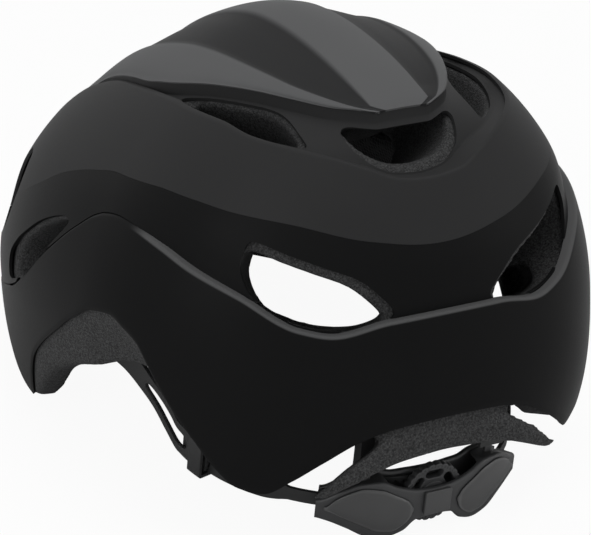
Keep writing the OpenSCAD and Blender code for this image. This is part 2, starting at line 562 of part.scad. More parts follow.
module nape_pads() {
    function rows(lift) = [for (i = [0:9]) [for (j = [0:5]) let (u = i / 4.5 - 1, v = j / 2.5 - 1, a = 19 + 9.5 * u)
        round_at(rack_radius - 3.8 - (lift ? 0.7 * pad_thickness * sqrt(max(0.01, (1 - pow(u, 4)) * (1 - pow(v, 4)))) : 0), a,
            mix(-6.4 + 0.12 * abs(a - 19), 8.5 - 0.3 * abs(a - 19), j / 5))]];
    color([0.16, 0.16, 0.17]) in_cradle() both() slab(rows(false), rows(true));
}

// Dial, on the axle: local z points to the rear.
module on_axle() {
    in_cradle() translate([0, -rack_radius, dial_z]) rotate([90, 0, 0]) children();
}

module dial_wheel() {
    color([0.18, 0.18, 0.185]) on_axle() difference() {
        translate([0, 0, 1.3]) cylinder(r = dial_radius, h = dial_thickness, $fn = 48);
        translate([0, 0, 1]) cylinder(r = axle_radius + running_fit, h = 6);
        for (k = [0:5]) rotate([0, 0, 60 * k + 90]) translate([dial_radius - 4.6, 0, 1]) {
            translate([0, 2.2, 0]) cylinder(r = 1.7, h = 6, $fn = 16);
            translate([0, -2.2, 0]) cylinder(r = 1.7, h = 6, $fn = 16);
            translate([-1.7, -2.2, 0]) cube([3.4, 4.4, 6]);
        }
        for (k = [0:23]) rotate([0, 0, 15 * k]) translate([dial_radius + 0.75, 0, 1]) cylinder(r = 1.2, h = 6, $fn = 12);
    }
}

tooth_pitch = 2 * 3.14159265 * pinion_pitch / pinion_teeth;

module drive_pinion() {
    step = 360 / pinion_teeth;
    rim = [for (k = [0:pinion_teeth - 1]) each [
        [pinion_pitch - 0.95, k * step - 9.5], [pinion_pitch + 0.55, k * step - 3.2],
        [pinion_pitch + 0.55, k * step + 3.2], [pinion_pitch - 0.95, k * step + 9.5]]];
    color([0.62, 0.62, 0.60]) on_axle() difference() {
        translate([0, 0, -1.2]) linear_extrude(2.4) polygon([for (p = rim) p[0] * [cos(p[1]), sin(p[1])]]);
        translate([0, 0, -2]) cylinder(r = axle_radius + running_fit, h = 5);
    }
}

// Rack straps: angle from the rear, low and high edge; the teeth face the pinion.
tooth_angle = tooth_pitch / rack_radius * 57.2958;

module rack_strap(upper) {
    line = upper ? dial_z + pinion_pitch : dial_z - pinion_pitch;
    s = upper ? 1 : -1;
    tooth_zone = [for (k = [-2:5]) each [[(k - 0.36) * tooth_angle, 0.75], [(k - 0.2) * tooth_angle, -0.6],
        [(k + 0.2) * tooth_angle, -0.6], [(k + 0.36) * tooth_angle, 0.75]]];
    teeth = [for (p = tooth_zone) [p[0], line + s * p[1], line + s * 2.3]];
    tail = upper ? [[15.5, line + 0.75, line + 2.3], [18, line - 0.5, line + 2.3], [22, 4, line + 1.4], [26, -1, 6.6], [30, -2.6, 3.4], [34, -3, 2.3]]
        : [[15.5, line - 2.3, line - 0.75], [18, line - 2.3, line], [22, -3.6, 1.2], [26, -3.2, 2.2], [30, -3, 2.6], [34, -3, 2.3]];
    run = [[38, -3, 2.3], [42, -3, 2.3], [45.5, -3, 2.4], [50, -4.2, 4.6], [54, -5, 6], [58, -5.3, 6.7],
        [62, -5.5, 7], [67, -5.6, 7], [72, -5.8, 7], [77, -5.9, 6.9], [82, -5.9, 6.9], [87, -5.8, 6.8], [92, -5, 6]];
    cols = concat([for (p = teeth) [p[0], min(p[1], p[2]), max(p[1], p[2])]], tail, run);
    function grid(r) = [for (p = cols) [round_at(r, p[0], p[1]), round_at(r, p[0], p[2])]];
    function slot(r) = [for (a = [57:3:72]) [for (j = [0:1]) round_at(r, a, (a == 57 || a == 72 ? mix(0, 1.4, j) : mix(-2.8, 4.2, j)))]];
    difference() {
        slab(grid(rack_radius + strap_wall / 2), grid(rack_radius - strap_wall / 2));
        slab(slot(rack_radius + 3), slot(rack_radius - 3));
    }
}

module rack_strap_right() {
    color([0.15, 0.15, 0.155]) in_cradle() one_mesh() rack_strap(false);
}

module rack_strap_left() {
    color([0.15, 0.15, 0.155]) in_cradle() one_mesh() mirror([1, 0, 0]) rack_strap(true);
}

// Temple strap: from the keeper round the rack strap's end up to the temple pin; drawn for the right side.
function to_worn(p) = [p[0], cradle_y + p[1] * cos(cradle_lean) - p[2] * sin(cradle_lean),
    cradle_z + p[1] * sin(cradle_lean) + p[2] * cos(cradle_lean)];
strap_r = rack_radius + strap_wall + 0.7;
strap_path = [
    for (a = [76, 79, 82, 86, 90, 94]) [to_worn(round_at(strap_r, a, 0.5)), to_worn(round_at(strap_r, a, 0.5 + strap_width / 2))],
    [[strap_r + 0.6, -38.6, 19], [strap_r + 0.6, -42.6, 23.6]],
    [[strap_r + 2.2, -34, 25.2], [strap_r + 2.2, -39.4, 28.4]],
    [[strap_r + 4.6, -28, 32], [strap_r + 4.6, -33.2, 35.4]],
    [[strap_r + 7, -20, 39], [strap_r + 7, -24.4, 43.4]],
    [[pin_inner_x + 2.5, -11, 44.6], [pin_inner_x + 2.5, -14.2, 49.6]],
    [[pin_inner_x + 2.6, pin_y - 5, pin_z - 2.4], [pin_inner_x + 2.6, pin_y - 7, pin_z + 2.6]],
];

module temple_strap() {
    function at_side(d, k) = [for (p = strap_path) [for (w = [-1, -0.33, 0.33, 1]) let (c = p[0] + (p[1] - p[0]) * w * k)
        c + [d, 0, 0]]];
    n = len(strap_path);
    function rows(d) = [for (i = [0:n - 1]) let (p = strap_path[i], g = i < 6 ? unit([p[0][0], p[0][1] - cradle_y, 0]) : [1, 0, 0])
        [for (w = [-1, -0.3, 0.3, 1]) p[0] + (p[1] - p[0]) * w + d * g]];
    function hole(d) = [for (i = [3:8]) let (p = strap_path[i], g = i < 6 ? unit([p[0][0], p[0][1] - cradle_y, 0]) : [1, 0, 0], k = i == 3 || i == 8 ? 0.15 : 0.5)
        [for (w = [-k, k]) p[0] + (p[1] - p[0]) * w + d * g]];
    one_mesh() difference() {
        union() {
            slab(rows(strap_wall / 2), rows(-strap_wall / 2));
            in_cradle() keeper();
            translate([pin_inner_x + 1.35, pin_y, pin_z]) rotate([0, 90, 0]) cylinder(r = 7.5, h = 2.5, $fn = 32);
        }
        slab(hole(3), hole(-3));
        translate([pin_inner_x - 3, pin_y, pin_z]) rotate([0, 90, 0]) cylinder(r = pin_radius + running_fit, h = 9, $fn = 40);
    }
}

module keeper() {
    function arc(r, angles, z0, z1) = [for (a = angles) [round_at(r, a, z0), round_at(r, a, z1)]];
    h = strap_width / 2 + 1.6;
    ring = [76.5, 78.5, 80.5, 82.5];
    through = [71, 79.5, 88];
    inside = rack_radius - strap_wall / 2;
    difference() {
        slab(arc(strap_r + 1.4, ring, 0.5 - h, 0.5 + h), arc(inside - 1.9, ring, 0.5 - h, 0.5 + h));
        slab(arc(strap_r - strap_wall / 2 - 0.3, through, -6.2, 7.4), arc(inside - 0.4, through, -6.2, 7.4));
    }
}

module temple_strap_right() {
    color([0.15, 0.15, 0.155]) temple_strap();
}

module temple_strap_left() {
    color([0.15, 0.15, 0.155]) mirror([1, 0, 0]) temple_strap();
}

on_table() {
    crown_shell();
    channel_shell();
    upper_band();
    side_shell();
    lower_shell();
    foam_liner();
    crown_pad();
    brow_pad();
    side_pads();
    temple_pins();
    height_guides();
    cradle_cover();
    cradle_base();
    wing_inserts();
    centre_tile();
    height_arms();
    housing_screws();
    nape_pads();
    temple_strap_left();
    temple_strap_right();
    dial_wheel();
    drive_pinion();
    rack_strap_left();
    rack_strap_right();
}
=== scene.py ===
import json
import math
import bmesh
import bpy
import numpy as np
from mathutils import Matrix, Vector
from mathutils.bvhtree import BVHTree

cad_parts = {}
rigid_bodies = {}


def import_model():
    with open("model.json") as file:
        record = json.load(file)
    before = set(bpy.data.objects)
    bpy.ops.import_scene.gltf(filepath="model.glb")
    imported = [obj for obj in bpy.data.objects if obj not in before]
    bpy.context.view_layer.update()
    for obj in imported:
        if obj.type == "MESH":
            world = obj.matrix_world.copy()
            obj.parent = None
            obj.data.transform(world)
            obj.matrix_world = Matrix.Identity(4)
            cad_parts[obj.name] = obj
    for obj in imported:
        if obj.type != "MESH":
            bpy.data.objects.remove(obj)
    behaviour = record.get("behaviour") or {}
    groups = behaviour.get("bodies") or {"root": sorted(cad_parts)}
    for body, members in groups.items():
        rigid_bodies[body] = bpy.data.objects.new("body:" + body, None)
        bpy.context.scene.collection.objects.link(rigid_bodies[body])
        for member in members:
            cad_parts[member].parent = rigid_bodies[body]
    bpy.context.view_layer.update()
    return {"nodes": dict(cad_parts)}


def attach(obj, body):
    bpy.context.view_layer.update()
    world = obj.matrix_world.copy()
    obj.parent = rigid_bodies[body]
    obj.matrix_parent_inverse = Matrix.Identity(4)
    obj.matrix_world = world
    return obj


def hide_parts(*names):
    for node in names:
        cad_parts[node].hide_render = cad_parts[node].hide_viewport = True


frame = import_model()
scene = bpy.context.scene
scene.view_settings.view_transform = "Standard"

# The camera stands behind the helmet, a little to its left and above, where the photograph was taken.
# The helmet leans back on the table, so places worked out on a worn helmet are turned to the table first.
LEAN, TABLE_Y, TABLE_Z = math.radians(11), 17, 4.39


def rest(p):
    """Places on the worn helmet in millimetres, as metres on the table."""
    p = np.asarray(p, float)
    y = p[..., 1] * math.cos(LEAN) + p[..., 2] * math.sin(LEAN) - TABLE_Y
    z = -p[..., 1] * math.sin(LEAN) + p[..., 2] * math.cos(LEAN) - TABLE_Z
    return np.stack([p[..., 0], y, z], -1) * 0.001


SENSOR, FOCAL, PICTURE_WIDTH = 36, 3000, 591
TARGET, DISTANCE = (-26.587, -64.516, 79.944), 1169.1
side, rise, roll = math.radians(-28.707), math.radians(16.3), math.radians(-2.254)
back = Vector((math.sin(side) * math.cos(rise), -math.cos(side) * math.cos(rise), math.sin(rise)))
flat_right = Vector((math.cos(side), math.sin(side), 0))
flat_up = back.cross(flat_right)
right = math.cos(roll) * flat_right + math.sin(roll) * flat_up
up = -math.sin(roll) * flat_right + math.cos(roll) * flat_up
lean = Matrix.Rotation(-LEAN, 3, "X")
camera = bpy.data.objects.new("camera", bpy.data.cameras.new("camera"))
scene.collection.objects.link(camera)
camera.data.sensor_width = SENSOR
camera.data.lens = SENSOR * FOCAL / PICTURE_WIDTH
camera.data.clip_start, camera.data.clip_end = 0.05, 20
turn = Matrix((lean @ right, lean @ up, lean @ back)).transposed().to_4x4()
place = Vector(rest(np.array(TARGET) + DISTANCE * np.array(back)))
camera.matrix_world = Matrix.Translation(place) @ turn
scene.camera = camera


# The crown shell is a thin moulded skin over the top: a flat centre rib, a dark groove on each side of it
# and an outer rib that ends in the crown's rim. It is formed with the foam and painted in two greys.
class Value:
    """A number or colour on its way through a material. Sums on it become the material's nodes."""

    def __init__(self, paint, socket):
        self.paint, self.socket = paint, socket

    def sum(self, operation, a, b):
        return self.paint.node("ShaderNodeMath", {"operation": operation}, {0: a, 1: b})[0]

    def __add__(self, other):
        return self.sum("ADD", self, other)

    def __mul__(self, other):
        return self.sum("MULTIPLY", self, other)

    def __sub__(self, other):
        return self.sum("SUBTRACT", self, other)

    def __rsub__(self, other):
        return self.sum("SUBTRACT", other, self)

    __radd__, __rmul__ = __add__, __mul__

    def band(self, low, high):
        """0 below low, 1 above high, smooth between."""
        return self.paint.node("ShaderNodeMapRange", {"interpolation_type": "SMOOTHSTEP"},
                               {0: self, 1: low, 2: high})[0]


class Node:
    """One node of a material, its outputs reached by name or number."""

    def __init__(self, paint, node):
        self.paint, self.node = paint, node

    def __getitem__(self, name):
        return Value(self.paint, self.node.outputs[name])


class Paint:
    """A piece's finish: its shader, and whatever feeds the shader."""

    def __init__(self, name, **shader):
        self.material = bpy.data.materials.new(name)
        self.material.use_nodes = True
        self.tree = self.material.node_tree
        self.shader = self.tree.nodes["Principled BSDF"]
        self.set(**shader)

    def node(self, kind, settings, sockets):
        made = self.tree.nodes.new(kind)
        for key, value in settings.items():
            setattr(made, key, value)
        for key, value in sockets.items():
            if isinstance(value, Value):
                self.tree.links.new(value.socket, made.inputs[key])
            else:
                made.inputs[key].default_value = value
        return Node(self, made)

    def set(self, **sockets):
        for key, value in sockets.items():
            target = self.shader.inputs[key.replace("_", " ")]
            if isinstance(value, Value):
                self.tree.links.new(value.socket, target)
            else:
                target.default_value = value if not isinstance(value, tuple) else (*value, 1)[:4]

    def place(self, stretch=(1, 1, 1)):
        here = self.node("ShaderNodeTexCoord", {}, {})["Object"]
        return self.node("ShaderNodeMapping", {}, {"Vector": here, "Scale": stretch})["Vector"]

    def noise(self, scale, detail=3.0, rough=0.5, stretch=(1, 1, 1)):
        return self.node("ShaderNodeTexNoise", {},
                         {"Vector": self.place(stretch), "Scale": scale, "Detail": detail,
                          "Roughness": rough})[0]

    def blend(self, fac, a, b):
        a, b = (colour if isinstance(colour, Value) else (*colour, 1) for colour in (a, b))
        return self.node("ShaderNodeMix", {"data_type": "RGBA"}, {0: fac, 6: a, 7: b})[2]

    def bump(self, height, distance, strength):
        feeds = {"Height": height, "Distance": distance, "Strength": strength}
        return self.node("ShaderNodeBump", {}, feeds)["Normal"]

    def attribute(self, name):
        return self.node("ShaderNodeAttribute", {"attribute_name": name}, {})["Fac"]


def plastic(name, dark, light, cloud, speck, rough, bump, specular, tone=None, pale=None):
    """A moulded finish: two close greys in soft clouds, and a fine fleck in its gloss and relief.
    Where the attribute named tone is 1, the colour is pale."""
    paint = Paint(name, Specular_IOR_Level=specular)
    fleck = paint.noise(speck, 2)
    base = paint.blend(paint.noise(cloud, 2), dark, light)
    if tone:
        base = paint.blend(paint.attribute(tone), base, pale)
    paint.set(Base_Color=base, Roughness=rough[0] + rough[1] * fleck, Normal=paint.bump(fleck, *bump))
    return paint


DOME_Y, DOME_Z, DOME_HALF, DOME_FRONT, DOME_REAR, DOME_RISE, DOME_SHIFT = -33, 57, 108.5, 183, 101, 116, 14
CROWN_Y, CROWN_Z, CROWN_HALF, CROWN_AHEAD, CROWN_BEHIND, CROWN_RISE = -17, 98, 100, 125, 140, 75.5
SIDE_POWER, FRONT_POWER, REAR_POWER, UNDER_POWER, CROWN_POWER = 1.88, 1.83, 2.32, 2.48, 1.64
UNDER_SIDE, UNDER_FRONT, UNDER_REAR = 106, 131, 114


def curve(table, t):
    """A smooth line through a table of places, level at its peaks."""
    table = np.asarray(table, float)
    x, y = table[:, 0], table[:, 1]
    h, s = np.diff(x), np.diff(y) / np.diff(x)
    m = np.zeros_like(y)
    both = s[:-1] * s[1:] > 0
    w1, w2 = 2 * h[1:] + h[:-1], h[1:] + 2 * h[:-1]
    m[1:-1][both] = ((w1 + w2)[both] / (w1[both] / s[:-1][both] + w2[both] / s[1:][both]))
    t = np.clip(t, x[0], x[-1])
    i = np.clip(np.searchsorted(x, t, "right") - 1, 0, len(x) - 2)
    u = (t - x[i]) / h[i]
    return ((1 + 2 * u) * (1 - u) ** 2 * y[i] + u * (1 - u) ** 2 * h[i] * m[i]
            + u * u * (3 - 2 * u) * y[i + 1] + u * u * (u - 1) * h[i] * m[i + 1])


def mix(a, b, k):
    return a + (b - a) * k


def ease(v):
    v = np.clip(v, 0, 1)
    return v * v * (3 - 2 * v)


def rem(u, q):
    """What a round form of the power q has left of its width, u of the way to its pole."""
    return np.maximum(0.0005, 1 - np.clip(u, 0, 1) ** q) ** (1 / q)


def signed(v, e):
    """v to the power e, with its sign kept."""
    return np.sign(v) * np.abs(v) ** e


def together(angle, *others):
    """The angle in radians and the other numbers, as arrays of one shape."""
    return np.broadcast_arrays(np.radians(np.asarray(angle, float)), *(np.asarray(v, float) for v in others))


def dome(t, z, d=0.0):
    """A place on the shell dome at plan angle t (0 rear, 180 front) and height z, d inside its surface."""
    t, z, d = together(t, z, d)
    high = z >= DOME_Z
    u, w = np.clip((z - DOME_Z) / (DOME_RISE - d), 0, 1), np.clip(DOME_Z - z, 0, None)
    a = (DOME_HALF - d) * np.where(high, rem(u, SIDE_POWER), rem(w / UNDER_SIDE, UNDER_POWER))
    f = (DOME_FRONT - d) * np.where(high, rem(u, FRONT_POWER), rem(w / UNDER_FRONT, UNDER_POWER))
    r = (DOME_REAR - d) * np.where(high, rem(u, REAR_POWER), rem(w / UNDER_REAR, UNDER_POWER))
    y = DOME_Y - DOME_SHIFT * u * u * high
    c = np.cos(t)
    return np.stack([a * signed(np.sin(t), 0.905), y - signed(c, 0.905) * np.where(c > 0, r, f), z], -1)


def cap(t, z, d=0.0):
    """A place on the crown dome."""
    t, z, d = together(t, z, d)
    k, c = rem((z - CROWN_Z) / (CROWN_RISE - d), CROWN_POWER), np.cos(t)
    x = (CROWN_HALF - d) * k * signed(np.sin(t), 1.053)
    length = np.where(c > 0, CROWN_BEHIND, CROWN_AHEAD) - d
    return np.stack([x, CROWN_Y - signed(c, 1.053) * k * length, z], -1)


def top(t, z, d=0.0):
    """A place on the crown dome, or low in front on the shell dome."""
    k = ease((np.abs(t) - 100) / 36) * (1 - ease((z - 112) / 32))
    return mix(cap(t, z, d), dome(t, z, d), np.asarray(k)[..., None])


def over(x, phi, d=0.0):
    """The crown's surface at cross position x and fore-aft angle phi, d inside it."""
    phi, x, d = together(phi, x, d)
    reach = []
    for surface in ("cap", "dome"):
        lo, hi = np.full(x.shape, 5.0), np.full(x.shape, 190.0)
        for _ in range(26):
            m = (lo + hi) / 2
            y, z = m * np.cos(phi), m * np.sin(phi)
            if surface == "cap":
                b = np.where(y > 0, CROWN_AHEAD, CROWN_BEHIND) - d
                s = ((np.abs(x) / (CROWN_HALF - d)) ** 1.9 + (np.abs(y) / b) ** 1.9) ** (1 / 1.9)
                g = s ** CROWN_POWER + np.clip(z / (CROWN_RISE - d), 0, None) ** CROWN_POWER
            else:
                u = np.clip((z + (CROWN_Z - DOME_Z)) / (DOME_RISE - d), 0, 1)
                dy = y + CROWN_Y - mix(DOME_Y, DOME_Y - DOME_SHIFT, u * u)
                b = np.where(dy > 0, (DOME_FRONT - d) * rem(u, FRONT_POWER),
                             (DOME_REAR - d) * rem(u, REAR_POWER))
                g = (np.abs(x) / ((DOME_HALF - d) * rem(u, SIDE_POWER))) ** 2.21 + (np.abs(dy) / b) ** 2.21
            hi, lo = np.where(g > 1, m, hi), np.where(g > 1, lo, m)
        reach.append((lo + hi) / 2)
    k = 1 - ease((np.degrees(phi) - 4) / 32)
    r = mix(reach[0], reach[1], k)
    return np.stack([x, CROWN_Y + r * np.cos(phi), CROWN_Z + r * np.sin(phi)], -1)


def steps(*runs):
    """Grid values in runs of even steps: each run's first value, last value and count."""
    return np.concatenate([np.linspace(*run) for run in runs])


def spline(a, b, c, d, u):
    """The smooth way from b to c, u of it done, that a and d steer."""
    return 0.5 * (2 * b + (c - a) * u + (2 * a - 5 * b + 4 * c - d) * u ** 2
                  + (3 * b - a - 3 * c + d) * u ** 3)


def rounded(points, per=8):
    """A closed smooth line through a few given corners."""
    p = np.asarray(points, float)
    n, u = len(p), np.arange(per)[:, None] / per
    out = []
    for i in range(n):
        a, b, c, d = p[i - 1], p[i], p[(i + 1) % n], p[(i + 2) % n]
        out.append(spline(a, b, c, d, u))
    return np.concatenate(out)


def within(p, line):
    """Which of the flat places p lie inside the closed line."""
    a, b = line, np.roll(line, -1, 0)
    x, y = p[:, 0, None], p[:, 1, None]
    edge_x = (b[:, 0] - a[:, 0]) * (y - a[:, 1]) / (b[:, 1] - a[:, 1] + 1e-12) + a[:, 0]
    cross = ((a[:, 1] > y) != (b[:, 1] > y)) & (x < edge_x)
    return cross.sum(1) % 2 == 1


def made(name, points, faces, paint, body, slot, *nodes):
    """A piece from points in metres, joined to its body, its finish and the CAD nodes that it stands for."""
    mesh = bpy.data.meshes.new(name)
    mesh.from_pydata([tuple(p) for p in points], [], faces)
    piece = bpy.data.objects.new(name, mesh)
    scene.collection.objects.link(piece)
    return finished(piece, paint, body, slot, *nodes)


def finished(piece, paint, body, slot, *nodes):
    piece.data.materials.clear()
    piece.data.materials.append(paint.material)
    piece.data.shade_smooth()
    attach(piece, body)
    if nodes:
        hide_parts(*nodes)
    return piece


def skin(us, vs, surface, holes=(), wrap=False):
    """Points and faces of a fine sheet over a grid, with smooth-edged holes. Gives the grid values too."""
    gu, gv = np.meshgrid(us, vs, indexing="ij")
    n, m = gu.shape
    points = surface(gu.ravel(), gv.ravel())
    i, j = np.meshgrid(np.arange(n if wrap else n - 1), np.arange(m - 1), indexing="ij")
    i, j = i.ravel(), j.ravel()
    k = (i + 1) % n
    faces = np.stack([i * m + j, k * m + j, k * m + j + 1, i * m + j + 1], 1)
    mid_u = (us[i] + np.where(k > i, us[k], us[0] + 360)) / 2
    mid = np.stack([mid_u, (vs[j] + vs[j + 1]) / 2], 1)
    cut = np.zeros(len(faces), bool)
    lines = []
    for line in holes:
        inside = within(mid, line)
        cut |= inside
        if inside.any():
            lines.append((np.unique(faces[inside]), surface(line[:, 0], line[:, 1]), line))
    faces = faces[~cut]
    used = np.zeros(len(points), bool)
    used[faces] = True
    for near, path, line in lines:
        near = near[used[near]]
        a, b = path, np.roll(path, -1, 0)
        p = points[near][:, None]
        s = np.clip(((p - a) * (b - a)).sum(-1) / ((b - a) ** 2).sum(-1), 0, 1)
        q = a + s[..., None] * (b - a)
        best = ((p - q) ** 2).sum(-1).argmin(1)
        points[near] = q[np.arange(len(near)), best]
    number = np.cumsum(used) - 1
    return points[used], number[faces].tolist(), gu.ravel()[used], gv.ravel()[used]


def modify(piece, kind, **values):
    """Adds a modifier of the kind with its values."""
    modifier = piece.modifiers.new(kind.lower(), kind)
    for key, value in values.items():
        setattr(modifier, key, value)
    return modifier


def settled(piece):
    """The piece as a plain mesh, its modifiers applied."""
    mesh = bpy.data.meshes.new_from_object(piece.evaluated_get(bpy.context.evaluated_depsgraph_get()))
    piece.modifiers.clear()
    piece.data = mesh
    return piece


def shell(piece, wall, edge, rounds=2):
    """Gives a sheet its wall, inwards, and breaks its edges, apart from those that meet another colour."""
    mesh = bmesh.new()
    mesh.from_mesh(piece.data)
    bmesh.ops.remove_doubles(mesh, verts=mesh.verts, dist=2e-5)
    bmesh.ops.dissolve_degenerate(mesh, edges=mesh.edges, dist=1e-5)
    mesh.to_mesh(piece.data)
    mesh.free()
    modify(piece, "SOLIDIFY", thickness=wall * 0.001, offset=-1, use_quality_normals=True)
    settled(piece)
    seam = piece.data.attributes.get("seam")
    mesh = bmesh.new()
    mesh.from_mesh(piece.data)
    tight = mesh.verts.layers.float.get("seam") if seam else None
    weight = mesh.edges.layers.float.new("bevel_weight_edge")
    for line in mesh.edges:
        if line.calc_face_angle(0) > math.radians(50):
            kept = tight and min(v[tight] for v in line.verts) > 0.5
            line[weight] = 0.25 if kept else 1
    mesh.to_mesh(piece.data)
    mesh.free()
    modify(piece, "BEVEL", width=edge * 0.001, segments=rounds, limit_method="WEIGHT", harden_normals=True,
           use_clamp_overlap=True)
    return piece


def tag(piece, name, values):
    piece.data.attributes.new(name, "FLOAT", "POINT").data.foreach_set("value",
            np.asarray(values, np.float32))


crown_edge = [(-7.4, 37.5), (-5.5, 42.3), (-1, 47.4), (3, 51), (8, 53.8), (14, 55.4), (22, 55.6), (32, 55.4),
              (41, 56.6), (55, 58.4), (69, 59.8), (82, 60.5), (95, 58.8), (101, 57.5), (121, 49), (135, 39.5),
              (141.5, 33), (147, 24.5), (149.6, 16), (150.6, 12)]
groove_edge = [(-7.4, 33), (0, 38), (32, 41), (69, 42.7), (90, 41.5), (110, 39.5), (121, 37.5), (135, 32.5),
               (141.5, 27.5), (147, 20.5), (149.6, 15), (150.6, 11.9)]
groove_line = [(0, -0.3), (0.9, -0.06), (1, 0), (1.1, 0.55), (1.3, 0.9), (1.55, 1), (1.85, 0.7), (2, 0),
               (2.1, -0.12), (2.5, -0.2), (2.9, 0), (3, 0)]
WALL, GROOVE_DEPTH, RIM_DROP, RIB_HALF = 1.3, 1.8, 0.9, 12.5
CROWN_FRONT, CROWN_LIP, CROWN_REAR = -7.4, 148.8, 150.6


def crown_lines(phi):
    """Half widths at a fore-aft angle: the centre rib's, the groove's outer edge and the crown's rim."""
    w = curve(crown_edge, phi)
    g = np.minimum(w - 1.6, curve(groove_edge, phi))
    return np.minimum(RIB_HALF, 0.75 * g), g, w


def crown_at(phi, j):
    """j runs from -3 to 3: the rim, the outer rib, the groove, the centre rib, and over to the other side."""
    r, g, w = crown_lines(phi)
    k = np.abs(j)
    x = np.where(k < 1, r * k, np.where(k < 2, mix(r, g, k - 1), mix(g, w, k - 2)))
    fade = np.clip((phi - CROWN_FRONT) / 10, 0, 1) * np.clip((CROWN_REAR - phi) / 6, 0, 1)
    rim = np.maximum(ease((k - 2.8) / 0.2), ease((phi - CROWN_LIP) / 1.8))
    return rest(over(np.sign(j) * x, phi, curve(groove_line, k) * GROOVE_DEPTH * fade + RIM_DROP * rim))


intake = rounded([(16, 0), (33, 2), (36, 12), (35, 24), (28, 31), (20, 31), (15, 22), (14.5, 10)])


def on_crown(line):
    """A line of cross positions and fore-aft angles, in the crown's own grid."""
    phi, x = line[:, 1], line[:, 0]
    r, g, w = crown_lines(phi)
    k = np.abs(x)
    j = np.where(k < r, k / r, np.where(k < g, 1 + (k - r) / (g - r), 2 + (k - g) / (w - g)))
    return np.stack([phi, np.sign(x) * j], 1)


paint_crown = Paint("crown_paint", Specular_IOR_Level=0.01)
groove_tone = paint_crown.attribute("groove")
cloud = paint_crown.noise(22, 2)
speck = paint_crown.noise(1500, 2)
rib_grey = paint_crown.blend(cloud, (0.106, 0.107, 0.109), (0.118, 0.119, 0.121))
groove_grey = paint_crown.blend(cloud, (0.029, 0.0292, 0.0298), (0.034, 0.0342, 0.0348))
paint_crown.set(Base_Color=paint_crown.blend(groove_tone, rib_grey, groove_grey),
                Roughness=0.40 + 0.10 * speck - 0.04 * groove_tone,
                Normal=paint_crown.bump(speck, 0.00003, 0.5))

half = steps((0, 0.86, 9), (0.92, 1.16, 9), (1.2, 1.82, 14), (1.86, 2.06, 9), (2.12, 2.86, 9), (2.9, 3, 4))
points, faces, phi, j = skin(np.linspace(CROWN_FRONT, CROWN_REAR, 190), np.concatenate([-half[:0:-1], half]),
                             crown_at, [on_crown(intake), on_crown(intake * [-1, 1])])
crown = made("crown_skin", points, faces, paint_crown, "helmet", "crown", "crown_shell")
in_groove = ease((np.abs(j) - 1.0) / 0.1) * (1 - ease((np.abs(j) - 1.93) / 0.08))
tag(crown, "groove", in_groove * np.clip((phi - CROWN_FRONT) / 5, 0, 1))
shell(crown, WALL, 0.3)


# The channel is the charcoal trough between the charcoal ring and the crown. Its wall holds the rear vent
# in the middle and one long vent on each side, and its floor runs into the foam.
ring_rim = [(0, 125), (7, 126), (16, 131), (25, 135), (33, 137.5), (53, 142), (66, 145.5), (86, 147.5),
            (91, 148), (115, 146), (133, 136.5), (143, 118), (152, 98), (157, 84), (161, 77), (180, 74)]
crown_rim = [(0, 148.5), (13, 148), (24, 149.5), (35, 152), (45, 153.5), (63, 154.5), (82, 152.5),
             (104, 148.5), (133, 137.5), (143, 119), (152, 99), (157, 85), (161, 78), (180, 75)]
channel_in = [(0, 0.5), (18, 0.46), (30, 0.3), (45, 0.2), (62, 0.2), (80, 0.3), (180, 0.4)]


def round_the_head(table, t):
    return curve(table, np.abs((np.asarray(t, float) + 180) % 360 - 180))


edge_phi = np.linspace(CROWN_FRONT, CROWN_REAR, 400)
edge_x = curve(crown_edge, edge_phi)
edge_right = over(edge_x, edge_phi, WALL)
edge_rear = over(np.linspace(edge_x[-1], -edge_x[-1], 30)[1:-1], CROWN_REAR, WALL)
edge_line = np.concatenate([edge_right, edge_rear, (edge_right * [-1, 1, 1])[::-1]])


def on_edge(p):
    """The nearest places on the crown's rim, a little under it."""
    shape = p.shape
    a, b = edge_line[:-1], edge_line[1:]
    q = p.reshape(-1, 1, 3)
    k = np.clip(((q - a) * (b - a)).sum(-1) / ((b - a) ** 2).sum(-1), 0, 1)[..., None]
    near = a + k * (b - a)
    best = ((q - near) ** 2).sum(-1).argmin(1)
    near = near[np.arange(len(near)), best]
    inwards = np.array([0, -20, 150]) - near
    return (near + 0.4 * inwards / np.linalg.norm(inwards, axis=1, keepdims=True)).reshape(shape)


def dip(t):
    return 1 - ease((np.abs(t) - 95) / 38)


def channel(t, j):
    """j 0 is the ring side, 1 the low inner line, 2 the wall's foot and 3 the crown side."""
    a = dome(t, round_the_head(ring_rim, t) - 1.6, 1.8)
    b = on_edge(top(t, round_the_head(crown_rim, t), WALL))
    low = mix(a, b, round_the_head(channel_in, t)[..., None])
    low[..., 2] = mix(low[..., 2], a[..., 2] - 0.8, 0.9 * dip(t))
    foot = b.copy()
    foot[..., 2] -= 4.6 * dip(t)
    j = np.asarray(j)[..., None]
    return np.where(j < 1, mix(a, low, j), np.where(j < 2, mix(low, foot, j - 1), mix(foot, b, j - 2)))


def strip(places):
    return np.array([(t, 1 + v) for t, v in places], float)


